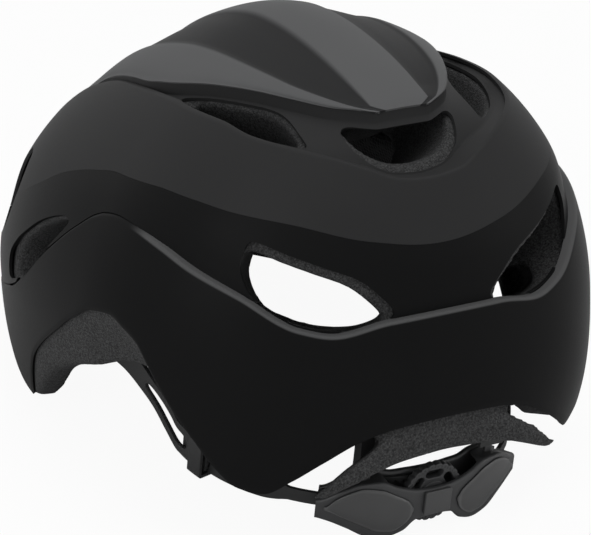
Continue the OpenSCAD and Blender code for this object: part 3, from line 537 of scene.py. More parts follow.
half_hole = [(5, 0.04), (10, 0.05), (15, 0.1), (18.5, 0.25), (21.2, 0.5), (22.4, 0.7), (20.4, 0.86),
             (13, 0.88), (5, 0.89)]
rear_hole = strip(half_hole + [(-t, v) for t, v in half_hole[::-1]])
side_hole = strip([(72, 0.08), (62, 0.07), (51, 0.07), (41, 0.07), (33, 0.1), (35, 0.45), (38.6, 0.78),
                   (43, 0.9), (50, 0.92), (60, 0.92), (70, 0.9), (77.5, 0.82), (81, 0.6), (78.5, 0.25)])
paint_band = plastic("charcoal_band", (0.028, 0.0281, 0.0286), (0.034, 0.0341, 0.0346), 16, 1400,
                     (0.44, 0.10), (0.00003, 0.5), 0.03)
points, faces, t, j = skin(np.linspace(-134, 134, 320), steps((0, 0.9, 5), (1, 2, 22), (2.1, 3, 8)),
                           lambda t, j: rest(channel(t, j)),
                           [rounded(rear_hole), rounded(side_hole), rounded(side_hole * [-1, 1])])
channel_skin = made("channel_skin", points, faces, paint_band, "helmet", "band", "channel_shell")
shell(channel_skin, WALL, 0.5, 3)


# The charcoal ring goes all round above the colour line, up to the rim of the channel.
# The front vents and the brow slots are cut through it.
colour_line = [(0, 101), (15, 105), (34, 113), (50, 117), (62, 120), (76, 122), (90, 122), (96, 119.5),
               (104, 114), (112, 104), (130, 84), (145, 72), (160, 67), (180, 66)]
temple_hole = rounded([(113, 63), (114.5, 72), (112, 80), (109, 86), (104, 94.5), (98.5, 100), (96, 99),
                       (98, 91.5), (101.5, 81), (106, 70)])
front_hole = rounded([(122, 96), (127, 108), (134, 106), (140, 92), (141, 76), (135, 68), (127, 72),
                      (122, 82)])
brow_hole = rounded([(176, 58), (172, 62), (166, 64), (160, 64), (158, 60), (163, 57), (170, 56)])
vent_hole = rounded([(44.5, 95), (44.6, 103), (42.5, 107), (33.5, 102), (25.5, 97), (18, 91.5), (13, 84),
                     (10, 76), (16, 72), (26, 73.5), (34, 78), (40, 83.5)])


def both_sides(*lines):
    return [line * [s, 1] for line in lines for s in (1, -1)]


def between(low, high, lines):
    """Lines of plan angles and heights, in the grid of a ring between two outlines."""
    return [np.stack([t, (z - low(t)) / (high(t) - low(t))], 1) for t, z in (line.T for line in lines)]


def band_low(t):
    return round_the_head(colour_line, t) + 0.03


def band_high(t):
    return round_the_head(ring_rim, t)


def band_at(t, f):
    lo, hi = band_low(t), band_high(t)
    roll_in = np.clip((f - 1) / 0.1, 0, 1)
    z = np.where(f <= 1, mix(lo, hi - 0.9, f), hi - 0.9 + 0.9 * np.sin(roll_in * math.pi / 2))
    return rest(dome(t, z, 1.1 * (1 - np.cos(roll_in * math.pi / 2))))


around = np.linspace(-180, 180, 480, endpoint=False)
points, faces, t, f = skin(around, steps((0, 1, 26), (1.02, 1.1, 5)), band_at,
                           between(band_low, band_high, both_sides(front_hole, brow_hole)), True)
band_skin = made("band_skin", points, faces, paint_band, "helmet", "band", "upper_band")
tag(band_skin, "seam", f < 0.01)
shell(band_skin, WALL, 0.5, 3)


# The black side shell goes from the colour line down to the ridge, where it dips behind the lower shell.
# The big rear side vents and the temple vents open in it.
ridge = [(0, 75), (11, 74.5), (22, 71.5), (30, 74.5), (44, 87.5), (57, 96.5), (66, 102.5), (76, 107),
         (84, 109), (89, 108), (94, 99), (98, 89.5), (105, 73), (111, 62), (125, 53), (140, 50), (180, 52)]
ledge = [(0, 2.4), (56, 2.4), (86, 0.3), (180, 0.3)]
proud = [(0, 0.9), (56, 0.9), (86, 0), (180, 0)]


def side_low(t):
    return round_the_head(ridge, t) + 0.1


def side_high(t):
    return round_the_head(colour_line, t) - 0.03


def side_at(t, f):
    drop = curve([(0, 1), (0.15, 0.85), (0.5, 0.35), (0.8, 0.05), (1, 0)], f)
    return rest(dome(t, mix(side_low(t), side_high(t), f), drop * round_the_head(ledge, t)))


BLACK = ((0.0076, 0.0077, 0.0079), (0.0096, 0.0097, 0.0099), 18, 1300, (0.34, 0.10), (0.00003, 0.5), 0.03)
paint_black = plastic("black_shell", *BLACK)
points, faces, t, f = skin(around, np.linspace(0, 1, 30), side_at,
                           between(side_low, side_high,
                                   both_sides(vent_hole, temple_hole, front_hole, brow_hole)), True)
side_skin = made("side_skin", points, faces, paint_black, "helmet", "black_shell", "side_shell")
tag(side_skin, "seam", f > 0.99)
shell(side_skin, WALL, 0.5, 3)


# The lower shell wraps the edge from the hem to the ridge, and folds in there as a narrow ledge.
# Its turn and ledge are painted a lighter grey as a painted highlight. It is a separate moulding, clipped and
# glued round the foam.
hem = [(0, 33), (10, 32), (17, 29), (26, 21), (33, 14), (40, 8.5), (46, 11), (51, 20), (54, 28), (60, 43),
       (63, 51), (69, 66), (73, 70), (78, 73.5), (84, 72.5), (89, 68.5), (94, 58), (103, 39), (111, 14),
       (118, 15.5), (122, 19), (127, 26), (140, 31.5), (155, 36), (180, 39.5)]


def lower_low(t):
    return round_the_head(hem, t)


def lower_high(t):
    return round_the_head(ridge, t)


def lower_at(t, f):
    """f 0 to 1 is the wall, 1 to 1.2 the turn at the ridge, and 1.2 to 2 the ledge."""
    lo, hi = lower_low(t), lower_high(t) - 1.5
    p, s = round_the_head(proud, t), round_the_head(ledge, t)
    z = mix(lo, hi, np.clip(f, 0, 1))
    d = -p + 0.5 * np.clip(1 - (z - lo) / 2, 0, 1) ** 2
    bend = np.clip((f - 1) / 0.2, 0, 1) * math.pi / 2
    z = z + 1.5 * np.sin(bend) + 0.15 * np.clip((f - 1.2) / 0.8, 0, 1)
    d = d + 1.5 * (1 - np.cos(bend)) + np.maximum(s + p - 1, 0.3) * np.clip((f - 1.2) / 0.8, 0, 1)
    return rest(dome(t, z, d))


# The lower shell's black has a painted highlight: where the attribute ledge is 1, it turns a lighter grey.
paint_lower = plastic("black_lower", *BLACK, "ledge", (0.085, 0.0855, 0.0865))
points, faces, t, f = skin(around, steps((0, 0.06, 3), (0.1, 1, 32), (1.025, 1.2, 8), (1.3, 2, 6)),
                           lower_at, between(lower_low, lower_high, both_sides(temple_hole)), True)
lower_skin = made("lower_skin", points, faces, paint_lower, "helmet", "black_shell", "lower_shell")
# Mask of the painted highlight: 1 from the ridge's turn onwards, fading out where the ledge is narrow.
tag(lower_skin, "ledge", ease((f - 1.0) / 0.06) * ease((curve(ledge, np.abs(t)) - 0.6) / 0.8))
shell(lower_skin, 1.2, 0.3)


# The foam liner is moulded from small beads, which show as a fine pebbled grain. The vents taper
# through it to the head space, and its lower edge shows below the shells.
foam_edge = [(0, 18.2), (7, 17.6), (13, 16), (18, 12.9), (22, 10), (27, 6.9), (33, 6.4), (36, 8), (40, 10),
             (46, 14), (51, 21), (56, 31), (60, 40), (64, 46), (70, 49.5), (76, 51), (82, 50), (87, 47.5),
             (91, 44.5), (95, 40.5), (99, 35), (105, 21), (111, 13.9), (118, 15.4), (122, 18.8), (127, 25.6),
             (140, 31), (155, 35), (180, 38.5)]
foam_tuck = [(0, 0), (8, -1.5), (14, -4), (20, -5.5), (28, -6), (33, -2), (38, 5), (45, 9), (60, 12),
             (75, 12), (86, 9), (95, 4), (104, 0.8), (111, 0.7), (120, 2), (180, 3)]
foam_lip = [(0, 10), (20, 11), (30, 15), (40, 19), (50, 23), (60, 25), (80, 25), (92, 20), (102, 13),
            (111, 11), (125, 24), (150, 30), (180, 32)]


CAVITY_Y, CAVITY_Z, CAVITY_HALF, CAVITY_LONG, CAVITY_RISE = 6, 50, 84, 106, 91
CAVITY_POWER = 2.3


def cavity(t, z):
    """A place on the head space's wall, at plan angle t and height z."""
    k, a = rem((z - CAVITY_Z) / CAVITY_RISE, CAVITY_POWER), np.radians(t)
    k, a, z = np.broadcast_arrays(k, a, z)
    return np.stack([CAVITY_HALF * k * signed(np.sin(a), 0.9),
                     CAVITY_Y - signed(np.cos(a), 0.9) * k * CAVITY_LONG, z], -1)


def sink(p, d):
    """Places moved d towards the inside."""
    to = np.array([0, -20, 60]) - p
    return p + d * to / np.linalg.norm(to, axis=-1, keepdims=True)


OUTSIDE, CROWN_GAP, POLE = 1.5, 2.8, 170.7


def foam_rows(t):
    """The liner's rings, from the head space's top down round its lower edge and up to the outer pole."""
    e, h, lip, tuck = (round_the_head(table, t) for table in (foam_edge, hem, foam_lip, foam_tuck))
    ridge_z, line_z, rim_z, s = (round_the_head(table, t) for table in (ridge, colour_line, ring_rim, ledge))
    crown_z = round_the_head(crown_rim, t)
    rows = [cavity(t, np.full_like(t, 141 - 57 * k)) for k in (0.06, 0.18, 0.36, 0.58, 0.8)]
    for k in (0.75, 0.4, 0.15):
        z = mix(e, 84, k)
        rows.append(mix(dome(t, z, lip), cavity(t, z), ease((z - e) / (58 - e))[:, None]))
    low = mix(e + 2, h, 0.6)
    under_hem = np.minimum(np.maximum(np.maximum(h - 0.8, low + 0.2), e + 3.2), h + 3.3)
    rows += [dome(t, e + 1.5, lip), dome(t, e, lip - 2.5), dome(t, e, tuck + 1.5), dome(t, e + 2, tuck),
             dome(t, np.maximum(low, e + 3), mix(tuck, 1.8, np.where(tuck < 0, 0.2, 0.55))),
             dome(t, under_hem, OUTSIDE), dome(t, h + 3.5, OUTSIDE), dome(t, ridge_z - 4, OUTSIDE),
             dome(t, ridge_z, s + OUTSIDE), dome(t, mix(ridge_z, line_z, 0.6), 0.4 * s + OUTSIDE),
             dome(t, line_z, OUTSIDE), dome(t, rim_z - 4.5, 1.9)]
    rows += [sink(channel(t, np.full_like(t, j)), 1.6) for j in (1, 2)]
    rows.append(top(t, crown_z - 1.1, 3.2))
    rows += [top(t, mix(crown_z, POLE, k), CROWN_GAP) for k in (0.25, 0.5, 0.72, 0.88, 0.97)]
    return rows


def loft(rings, first, last):
    """Closed body through rings of equal length, with a point at each end."""
    n, m = len(rings), len(rings[0])
    points = np.concatenate(rings + [np.array([first, last])])
    pairs, last_ring = [(b, (b + 1) % m) for b in range(m)], (n - 1) * m
    faces = [(a * m + b, a * m + c, (a + 1) * m + c, (a + 1) * m + b) for a in range(n - 1) for b, c in pairs]
    faces += [(n * m, c, b) for b, c in pairs] + [(n * m + 1, last_ring + b, last_ring + c) for b, c in pairs]
    return points, faces


def plug(line, out, inn, k):
    """The space of a vent: its rim moved outwards, and its rim drawn together and moved inwards."""
    c = line.mean(0)
    outer, inner = c + (line - c) * 0.985 + np.array(out), c + (line - c) * k + np.array(inn)
    return loft([mix(outer, inner, u) for u in np.linspace(0, 1, 6)], c + np.array(out), c + np.array(inn))


def loose(name, points, faces):
    """A mesh object for the boolean and simulation steps, with its faces outwards."""
    mesh = bpy.data.meshes.new(name)
    mesh.from_pydata([tuple(p) for p in points], [], faces)
    work = bmesh.new()
    work.from_mesh(mesh)
    bmesh.ops.recalc_face_normals(work, faces=work.faces)
    work.to_mesh(mesh)
    work.free()
    piece = bpy.data.objects.new(name, mesh)
    scene.collection.objects.link(piece)
    return piece


gap_side = [(21, 18.7), (26.7, 10.3), (30, 6.5), (32, 2), (38, -2), (44, 2), (43, 9), (38, 10.5), (32, 15.5),
            (26, 22.5)]
hem_gap = rounded([(12, 33), (16.2, 25)] + gap_side + [(19, 29.5)])
gap_end = rounded([(18, 28), (18.5, 22)] + gap_side + [(20.5, 28.5)])
low_corner = rounded([(10.5, 74), (17, 72.5), (23, 76), (21, 84), (13, 83)])


def vents():
    """Each vent through the foam: its outline, its moves outwards and inwards, and how far it narrows."""
    def dome_line(line):
        return dome(line[:, 0], line[:, 1], 1.0)

    rims = [(dome_line(vent_hole), (19, -23, 4), (-24, 42, -13), 0.86),
            (dome_line(temple_hole), (14, 1, 2), (-42, -10, -6), 0.6),
            (dome_line(front_hole), (12, 14, 3), (-34, -40, -8), 0.7),
            (over(intake[:, 0], intake[:, 1], 2.0), (0, 15, 12), (-3, -47, -32), 0.78),
            (dome_line(brow_hole), (2, 16, 2), (-2, -50, 2), 0.75),
            (dome(*hem_gap.T, -5.0), (4, -8, 3), (-25, 46, -15), 1.0),
            (dome(*gap_end.T, 3.0), (4, -8, 3), (-25, 46, -1), 1.0),
            (dome_line(low_corner), (-8, -14, 5), (34, 61, -21), 1.0),
            (channel(*rounded(side_hole).T), (7, -5, 13), (-16, 12, -36), 0.7)]
    out = [(channel(*rounded(rear_hole).T), (0, -14, 9), (0, 46, -15), 0.78)]
    for line, outwards, inwards, k in rims:
        for s in (1, -1):
            flip = np.array([s, 1, 1])
            out.append((line * flip, np.array(outwards) * flip, np.array(inwards) * flip, k))
    return out


foam_turn = np.linspace(-180, 180, 300, endpoint=False)
rows = foam_rows(foam_turn)
fine = []
for a, b in zip(rows, rows[1:]):
    count = max(1, int(np.linalg.norm(a - b, axis=1).mean() / 4))
    fine += [mix(a, b, k / count) for k in range(count)]
fine.append(rows[-1])
points, faces = loft(fine, (0, CAVITY_Y, CAVITY_Z + CAVITY_RISE), (0, CROWN_Y, POLE))
foam = loose("foam_body", rest(points), faces)
cutters = bpy.data.collections.new("vent_spaces")
scene.collection.children.link(cutters)
for number, vent in enumerate(vents()):
    points, faces = plug(*vent)
    cutter = loose("vent_space_%d" % number, rest(points), faces)
    scene.collection.objects.unlink(cutter)
    cutters.objects.link(cutter)
for cutter in list(cutters.objects):
    modify(foam, "BOOLEAN", operation="DIFFERENCE", object=cutter, solver="MANIFOLD")
modify(foam, "REMESH", mode="VOXEL", voxel_size=0.0019, adaptivity=0)
modify(foam, "SMOOTH", factor=0.5, iterations=3)
settled(foam)
for cutter in list(cutters.objects):
    bpy.data.objects.remove(cutter)
bpy.data.collections.remove(cutters)
paint_foam = Paint("foam_beads", Roughness=0.7, Specular_IOR_Level=0.15)
cells = paint_foam.node("ShaderNodeTexVoronoi", {"feature": "DISTANCE_TO_EDGE"},
                        {"Vector": paint_foam.place(), "Scale": 900.0})[0]
fine_grain = paint_foam.noise(1100, 3, 0.6)
bead = cells.band(0.0, 0.25)
mottle = 0.35 * bead + 0.65 * fine_grain.band(0.36, 0.64)
paint_foam.set(Base_Color=paint_foam.blend(mottle, (0.016, 0.0162, 0.0165), (0.066, 0.0665, 0.0675)),
               Roughness=0.78 - 0.10 * bead, Normal=paint_foam.bump(mottle, 0.00025, 0.8))
finished(foam, paint_foam, "helmet", "foam", "foam_liner")

# The pads are foam cushions in a knitted cover, stuck to the liner by hook spots. Each cover is blown up
# a little by simulation, and its edge is sewn with a row of stitches.
def cushion_form(grid, lift, n, m):
    """A closed cushion: grid(u, v) is its back, and lift(u, v) its thickness, in millimetres."""
    u, v = (g.ravel() for g in np.meshgrid(np.linspace(-1, 1, n), np.linspace(-1, 1, m), indexing="ij"))
    under, inward = grid(u, v)
    thick = lift(u, v)[:, None]
    points = np.concatenate([under, under + inward * thick])
    k, faces = n * m, []
    for i in range(n - 1):
        for j in range(m - 1):
            a, b, c, d = i * m + j, (i + 1) * m + j, (i + 1) * m + j + 1, i * m + j + 1
            faces += [(a, b, c, d), (k + a, k + d, k + c, k + b)]
    edge = [i * m for i in range(n)] + [(n - 1) * m + j for j in range(1, m)]
    edge += [i * m + m - 1 for i in range(n - 2, -1, -1)] + list(range(m - 2, 0, -1))
    faces += [(a, k + a, k + b, b) for a, b in zip(edge, edge[1:] + edge[:1])]
    return points, faces


PAD_THICK, PAD_MESH, PAD_SWELL = 3.9, 1.4, 1.1


def inflated(name, points, faces):
    """Runs the cover as cloth under pressure, and keeps each point near where it began."""
    piece = loose(name, points, faces)
    modify(piece, "REMESH", mode="VOXEL", voxel_size=PAD_MESH * 0.001)
    settled(piece)
    start = np.empty(len(piece.data.vertices) * 3)
    piece.data.vertices.foreach_get("co", start)
    cover = modify(piece, "CLOTH").settings
    cover.use_pressure, cover.uniform_pressure_force = True, 1.5
    cover.effector_weights.gravity = 0
    cover.tension_stiffness = cover.compression_stiffness = 12
    cover.bending_stiffness = 0.4
    for step in range(1, 16):
        scene.frame_set(step)
    settled(piece)
    scene.frame_set(1)
    moved = np.empty_like(start)
    piece.data.vertices.foreach_get("co", moved)
    shift = (moved - start).reshape(-1, 3)
    far = np.linalg.norm(shift, axis=1, keepdims=True)
    shift *= np.minimum(1, PAD_SWELL * 0.001 / np.maximum(far, 1e-9))
    piece.data.vertices.foreach_set("co", start + shift.ravel())
    modify(piece, "SMOOTH", factor=0.5, iterations=5)
    modify(piece, "SUBSURF", levels=1, render_levels=1)
    return settled(piece)


def bead_group(name, numbers, material):
    """Geometry nodes that put small beads at points. The beads' sizes and direction are left open."""
    tree = bpy.data.node_groups.new(name, "GeometryNodeTree")
    for label, way, kind in (("Form", "INPUT", "Geometry"),
                             *((label, "INPUT", kind) for label, kind in numbers),
                             (material, "INPUT", "Material"), ("Beads", "OUTPUT", "Geometry")):
        tree.interface.new_socket(label, in_out=way, socket_type="NodeSocket" + kind)
    nodes = {key: tree.nodes.new(kind) for key, kind in (
        ("start", "NodeGroupInput"), ("end", "NodeGroupOutput"), ("put", "GeometryNodeInstanceOnPoints"),
        ("bead", "GeometryNodeMeshIcoSphere"), ("tangent", "GeometryNodeInputTangent"),
        ("aim", "FunctionNodeAlignRotationToVector"), ("size", "ShaderNodeCombineXYZ"),
        ("real", "GeometryNodeRealizeInstances"), ("finish", "GeometryNodeSetMaterial"))}
    sphere = nodes["bead"].inputs
    sphere["Radius"].default_value, sphere["Subdivisions"].default_value = 0.5, 2
    wire(tree, nodes, ("bead", "Mesh", "put", "Instance"), ("aim", 0, "put", "Rotation"),
         ("size", 0, "put", "Scale"), ("put", 0, "real", 0), ("real", 0, "finish", "Geometry"),
         ("start", material, "finish", "Material"), ("finish", 0, "end", 0))
    return tree, nodes


def wire(tree, nodes, *links):
    for a, out, b, into in links:
        tree.links.new(nodes[a].outputs[out], nodes[b].inputs[into])


def stitch_tree():
    """Geometry nodes: short stitches along a path, with their measures and thread as inputs."""
    numbers = [(label, "Float") for label in ("Spacing", "Length", "Thickness")]
    tree, nodes = bead_group("stitches", numbers, "Thread")
    nodes["path"], nodes["spread"] = (tree.nodes.new("GeometryNode" + kind)
                                      for kind in ("MeshToCurve", "ResampleCurve"))
    nodes["spread"].mode, nodes["aim"].axis = "LENGTH", "X"
    wire(tree, nodes, ("start", "Form", "path", 0), ("path", 0, "spread", "Curve"),
         ("start", "Spacing", "spread", "Length"), ("spread", 0, "put", "Points"),
         ("tangent", 0, "aim", "Vector"), ("start", "Length", "size", 0), ("start", "Thickness", "size", 1),
         ("start", "Thickness", "size", 2))
    return tree


def with_nodes(piece, group, **inputs):
    """The piece that a node group makes of it, the group's inputs set by their names."""
    modifier = modify(piece, "NODES", node_group=group)
    for socket in group.interface.items_tree:
        if socket.name in inputs:
            modifier[socket.identifier] = inputs[socket.name]
    return settled(piece)


def stitched(name, path, paint):
    """A row of stitches along a closed path of points in metres."""
    mesh = bpy.data.meshes.new(name)
    mesh.from_pydata([tuple(p) for p in path], [(i, (i + 1) % len(path)) for i in range(len(path))], [])
    piece = bpy.data.objects.new(name, mesh)
    scene.collection.objects.link(piece)
    return with_nodes(piece, stitches, Spacing=0.0034, Length=0.0027, Thickness=0.0006, Thread=paint.material)


def knit(name):
    """Black knitted mesh: small open holes between soft threads."""
    paint = Paint(name, Specular_IOR_Level=0.25, Sheen_Weight=0.25, Sheen_Roughness=0.5)
    holes = paint.node("ShaderNodeTexVoronoi", {"feature": "F1"},
                       {"Vector": paint.place(), "Scale": 620.0, "Randomness": 0.35})[0]
    thread = holes.band(0.25, 0.6)
    fuzz = paint.noise(2500, 3)
    paint.set(Base_Color=paint.blend(thread, (0.008, 0.008, 0.0085), (0.030, 0.0305, 0.032)),
              Roughness=0.85 + 0.1 * fuzz, Normal=paint.bump(thread + 0.3 * fuzz, 0.0002, 0.8))
    return paint


def pressed(u, v):
    return np.sqrt(np.clip((1 - u ** 4) * (1 - v ** 4), 0, 1))


def toward(p, place):
    """Steps of 1 mm from p towards a place."""
    to = np.array(place) - p
    return to / np.linalg.norm(to, axis=-1, keepdims=True)


def pad_grid(t0, t1, z0, z1):
    def grid(u, v):
        p = cavity(mix(t0, t1, (u + 1) / 2), mix(z0, z1, 0.5 + 0.5 * v * (1 - 0.1 * u ** 4)))
        inwards = toward(p, (0, 0, 60))
        return p + 1.5 * inwards, inwards
    return grid


def crown_pad_grid(u, v):
    x = v * (22 - 8 * np.cos(np.radians(u * 180)) - 4 * u ** 6)
    y = CAVITY_Y + 62 * u
    k = (np.abs(x) / CAVITY_HALF) ** 2.22 + (np.abs(y - CAVITY_Y) / CAVITY_LONG) ** 2.22
    p = np.stack([x, y, CAVITY_Z + CAVITY_RISE * (1 - k ** (CAVITY_POWER / 2.22)) ** (1 / CAVITY_POWER)], -1)
    inwards = toward(p, (0, CAVITY_Y, 60))
    return p + 1.4 * inwards, inwards


def pad_lift(full):
    return lambda u, v: full * (0.38 + 0.62 * pressed(u, v))


def crown_lift(u, v):
    return PAD_THICK * (1 - 0.5 * np.exp(-((np.abs(u) - 0.33) / 0.06) ** 2)) * (0.38 + 0.62 * pressed(u, v))


stitches = stitch_tree()
paint_knit = knit("pad_knit")
paint_thread = Paint("pad_thread", Base_Color=(0.05, 0.05, 0.052), Roughness=0.7)


def edge_path(grid, piece, inset=0.84):
    """A rounded line just inside the cushion's edge, laid on its face."""
    a = np.linspace(0, 2 * math.pi, 120, endpoint=False)
    u, v = (inset * signed(f(a), 0.45) for f in (np.cos, np.sin))
    under, inward = grid(u, v)
    tree = BVHTree.FromPolygons([vert.co for vert in piece.data.vertices],
                                [tuple(face.vertices) for face in piece.data.polygons])
    path = []
    for p, d in zip(rest(under + inward * 12), -(rest(under + inward) - rest(under)) * 1000):
        hit = tree.ray_cast(Vector(p), Vector(d))[0]
        if hit:
            path.append(hit)
    return path


def pad(name, forms, body, node):
    """One node's cushions, each blown up by itself, and their stitches."""
    parts, rows = [], []
    for number, (grid, lift, n, m, flip) in enumerate(forms):
        points, faces = cushion_form(grid, lift, n, m)
        part = inflated("%s_%d" % (name, number), rest(points), faces)
        row = stitched("%s_row_%d" % (name, number), edge_path(grid, part), paint_thread)
        if flip:
            for piece in (part, row):
                other = piece.copy()
                other.data = piece.data.copy()
                other.data.transform(Matrix.Scale(-1, 4, (1, 0, 0)))
                other.data.flip_normals()
                scene.collection.objects.link(other)
                (parts if piece is part else rows).append(other)
        parts.append(part)
        rows.append(row)
    for label, group, paint in ((name, parts, paint_knit), (name + "_stitches", rows, paint_thread)):
        whole = joined(label, group)
        finished(whole, paint, body, "pad_cloth", *([node] if label == name else []))
        label == name


def joined(name, pieces):
    """Several loose pieces as one, with the number of the piece kept off."""
    mesh = bmesh.new()
    for piece in pieces:
        mesh.from_mesh(piece.data)
        bpy.data.objects.remove(piece)
    whole = bpy.data.meshes.new(name)
    mesh.to_mesh(whole)
    mesh.free()
    piece = bpy.data.objects.new(name, whole)
    scene.collection.objects.link(piece)
    return piece


pad("crown_cushion", [(crown_pad_grid, crown_lift, 60, 26, False)], "helmet", "crown_pad")
pad("brow_cushion", [(pad_grid(136, 224, 58, 76), pad_lift(PAD_THICK), 70, 14, False)], "helmet", "brow_pad")
pad("side_cushions", [(pad_grid(88, 120, 84, 102), pad_lift(PAD_THICK), 30, 14, True),
                      (pad_grid(50, 78, 84, 102), pad_lift(PAD_THICK), 30, 14, True)], "helmet", "side_pads")


# The cradle's cover is a moulded black plate that curves round the back of the head. Its rim folds forward
# round the rack straps, except where the dial comes through above and below.
CRADLE_Y, CRADLE_Z, CRADLE_LEAN = -47.4, 12.6, math.radians(14.5)


def worn_cradle(p):
    """Places in the cradle's own frame, on the worn helmet in millimetres."""
    p = np.asarray(p, float)
    c, s = math.cos(CRADLE_LEAN), math.sin(CRADLE_LEAN)
    return np.stack([p[..., 0], CRADLE_Y + p[..., 1] * c - p[..., 2] * s,
                     CRADLE_Z + p[..., 1] * s + p[..., 2] * c], -1)


def from_cradle(p):
    return rest(worn_cradle(p))


def on_arc(r, a, z):
    """A place in the cradle: r from its lean axis, a degrees from the rear, z up."""
    a, r, z = together(a, r, z)
    return from_cradle(np.stack([r * np.sin(a), -r * np.cos(a), z], -1))


house_top = [(0, 8), (6, 8.5), (13, 11), (18, 13.6), (24, 12.8), (30, 8.8), (36.5, 4.4)]
house_low = [(0, -5), (6, -6), (10, -10.5), (16, -12.8), (21, -12), (27, -8.4), (33, -5.6), (36.5, -4.8)]
base_top = [(0, 12.5), (8, 12.5), (13, 12.2), (18, 13.2), (24, 12.4), (30, 8.4), (36.5, 4.1)]


COVER_RADIUS, BASE_RADIUS, COVER_END, FOLD = 76.3, 66.7, 36.5, 1.4


def cover_at(a, f):
    """f 0 to 1 is the plate from its lower to its upper edge; the fold goes on to -1 and 2."""
    lo, hi = curve(house_low, np.abs(a)) + FOLD, curve(house_top, np.abs(a)) - 2.15
    fold = np.where(f < 0, -f, np.clip(f - 1, 0, 1))
    bend = np.clip(fold / 0.3, 0, 1) * math.pi / 2
    deep = np.clip((fold - 0.3) / 0.7, 0, 1) * mix(0.4, 6.3, ease((np.abs(a) - 15.4) / 2.2))
    flat = mix(lo, hi, np.clip(f, 0, 1))
    z = np.where(f < 0, lo - FOLD * np.sin(bend), np.where(f > 1, hi + FOLD * np.sin(bend), flat))
    return on_arc(COVER_RADIUS - FOLD * (1 - np.cos(bend)) - deep, a, z)


MOULDED = ((0.030, 0.0305, 0.032), (0.038, 0.0385, 0.040), 60, 1900, (0.40, 0.14), (0.00006, 0.6), 0.45)
paint_plastic = plastic("cradle_plastic", *MOULDED)
fold = steps((-1, -0.34, 6), (-0.3, -0.06, 5), (0, 1, 26), (1.06, 1.3, 5), (1.34, 2, 6))
points, faces, a, f = skin(np.linspace(-COVER_END, COVER_END, 110), fold, cover_at)
cover = made("cradle_cover_skin", points, faces, paint_plastic, "cradle", "cradle_plastic", "cradle_cover")
shell(cover, WALL, 0.3)


# The base plate closes the housing on the head's side. It is moulded in the cover's plastic, in one piece
# with the dial's axle, and two screws hold it to the cover.
def base_at(a, f):
    lo, hi = curve(house_low, np.abs(a)), curve(base_top, np.abs(a))
    return on_arc(BASE_RADIUS, a, mix(lo, hi, f))


GEAR_RADIUS, DIAL_Z = 68.6, 3.5


def on_axle(p):
    """A place on the dial's own axis: z points to the rear."""
    p = np.asarray(p, float)
    return from_cradle(np.stack([p[..., 0], -GEAR_RADIUS - p[..., 2], DIAL_Z + p[..., 1]], -1))


def spun(profile, n=40):
    """Points and faces of a closed turned form: a profile of radii and heights, from pole to pole."""
    a = np.linspace(0, 2 * math.pi, n, endpoint=False)
    rings = [np.stack([r * np.cos(a), r * np.sin(a), np.full(n, float(h))], 1) for r, h in profile[1:-1]]
    return loft(rings, (0, 0, profile[0][1]), (0, 0, profile[-1][1]))


points, faces, a, f = skin(np.linspace(-COVER_END, COVER_END, 90), np.linspace(0, 1, 14), base_at)
plate = loose("base_plate", points, faces)
plate.data.flip_normals()
modify(plate, "SOLIDIFY", thickness=0.0018, offset=0)
settled(plate)
points, faces = spun([(0, -2.6), (1.6, -2.6), (1.9, -2.4), (2, -2.1), (2, 5.3), (1.8, 5.6), (0, 5.7)])
axle = loose("axle", on_axle(points), faces)
finished(joined("cradle_base_plate", [plate, axle]), paint_plastic, "cradle", "cradle_plastic", "cradle_base")

# The wing inserts are lighter satin panels on both sides of the dial, snapped onto the cover. A paler raised
# line runs round each, a little inside its edge.
insert_top = [(7.4, 0.8), (9, 3.6), (13, 6.8), (18, 9.8), (22.5, 10.4), (26.5, 8.7), (30.5, 5.4), (34, 1.2)]
insert_low = [(7.4, -0.8), (8.4, -4), (10.5, -7), (14, -9.4), (18, -9), (22, -6.6), (28, -3), (34, -0.2)]


INSERT_MIDDLE, INSERT_REACH = 20.7, 13.4


def insert_fill(a, f):
    """1 in the middle of an insert, 0 at its edge."""
    return (1 - (2 * f - 1) ** 4) * (1 - ((a - INSERT_MIDDLE) / INSERT_REACH) ** 4)


def insert_at(a, f):
    full = insert_fill(a, f)
    rise = 0.4 + 0.9 * full + 0.3 * np.exp(-((full - 0.2) / 0.1) ** 2)
    return on_arc(76.4 + rise, a, mix(curve(insert_low, a), curve(insert_top, a), f))


def mirrored(points, faces):
    """The same form on the other side of the helmet, its faces still outwards."""
    return points * np.array([-1, 1, 1]), [tuple(reversed(face)) for face in faces]


paint_insert = plastic("insert_satin", (0.044, 0.0445, 0.0455), (0.054, 0.0545, 0.0555), 50, 2200,
                       (0.33, 0.1), (0.00003, 0.5), 0.5, "frame", (0.085, 0.0855, 0.0865))
points, faces, a, f = skin(np.linspace(7.4, 34, 60), np.linspace(0, 1, 24), insert_at)
panels = [loose("insert_0", points, faces), loose("insert_1", *mirrored(points, faces))]
for number, panel in enumerate(panels):
    tag(panel, "frame", np.exp(-((insert_fill(a, f) - 0.22) / 0.12) ** 2))
    shell(panel, 0.45, 0.2)
    settled(panel)
finished(joined("wing_panels", panels), paint_insert, "cradle", "insert", "wing_inserts")


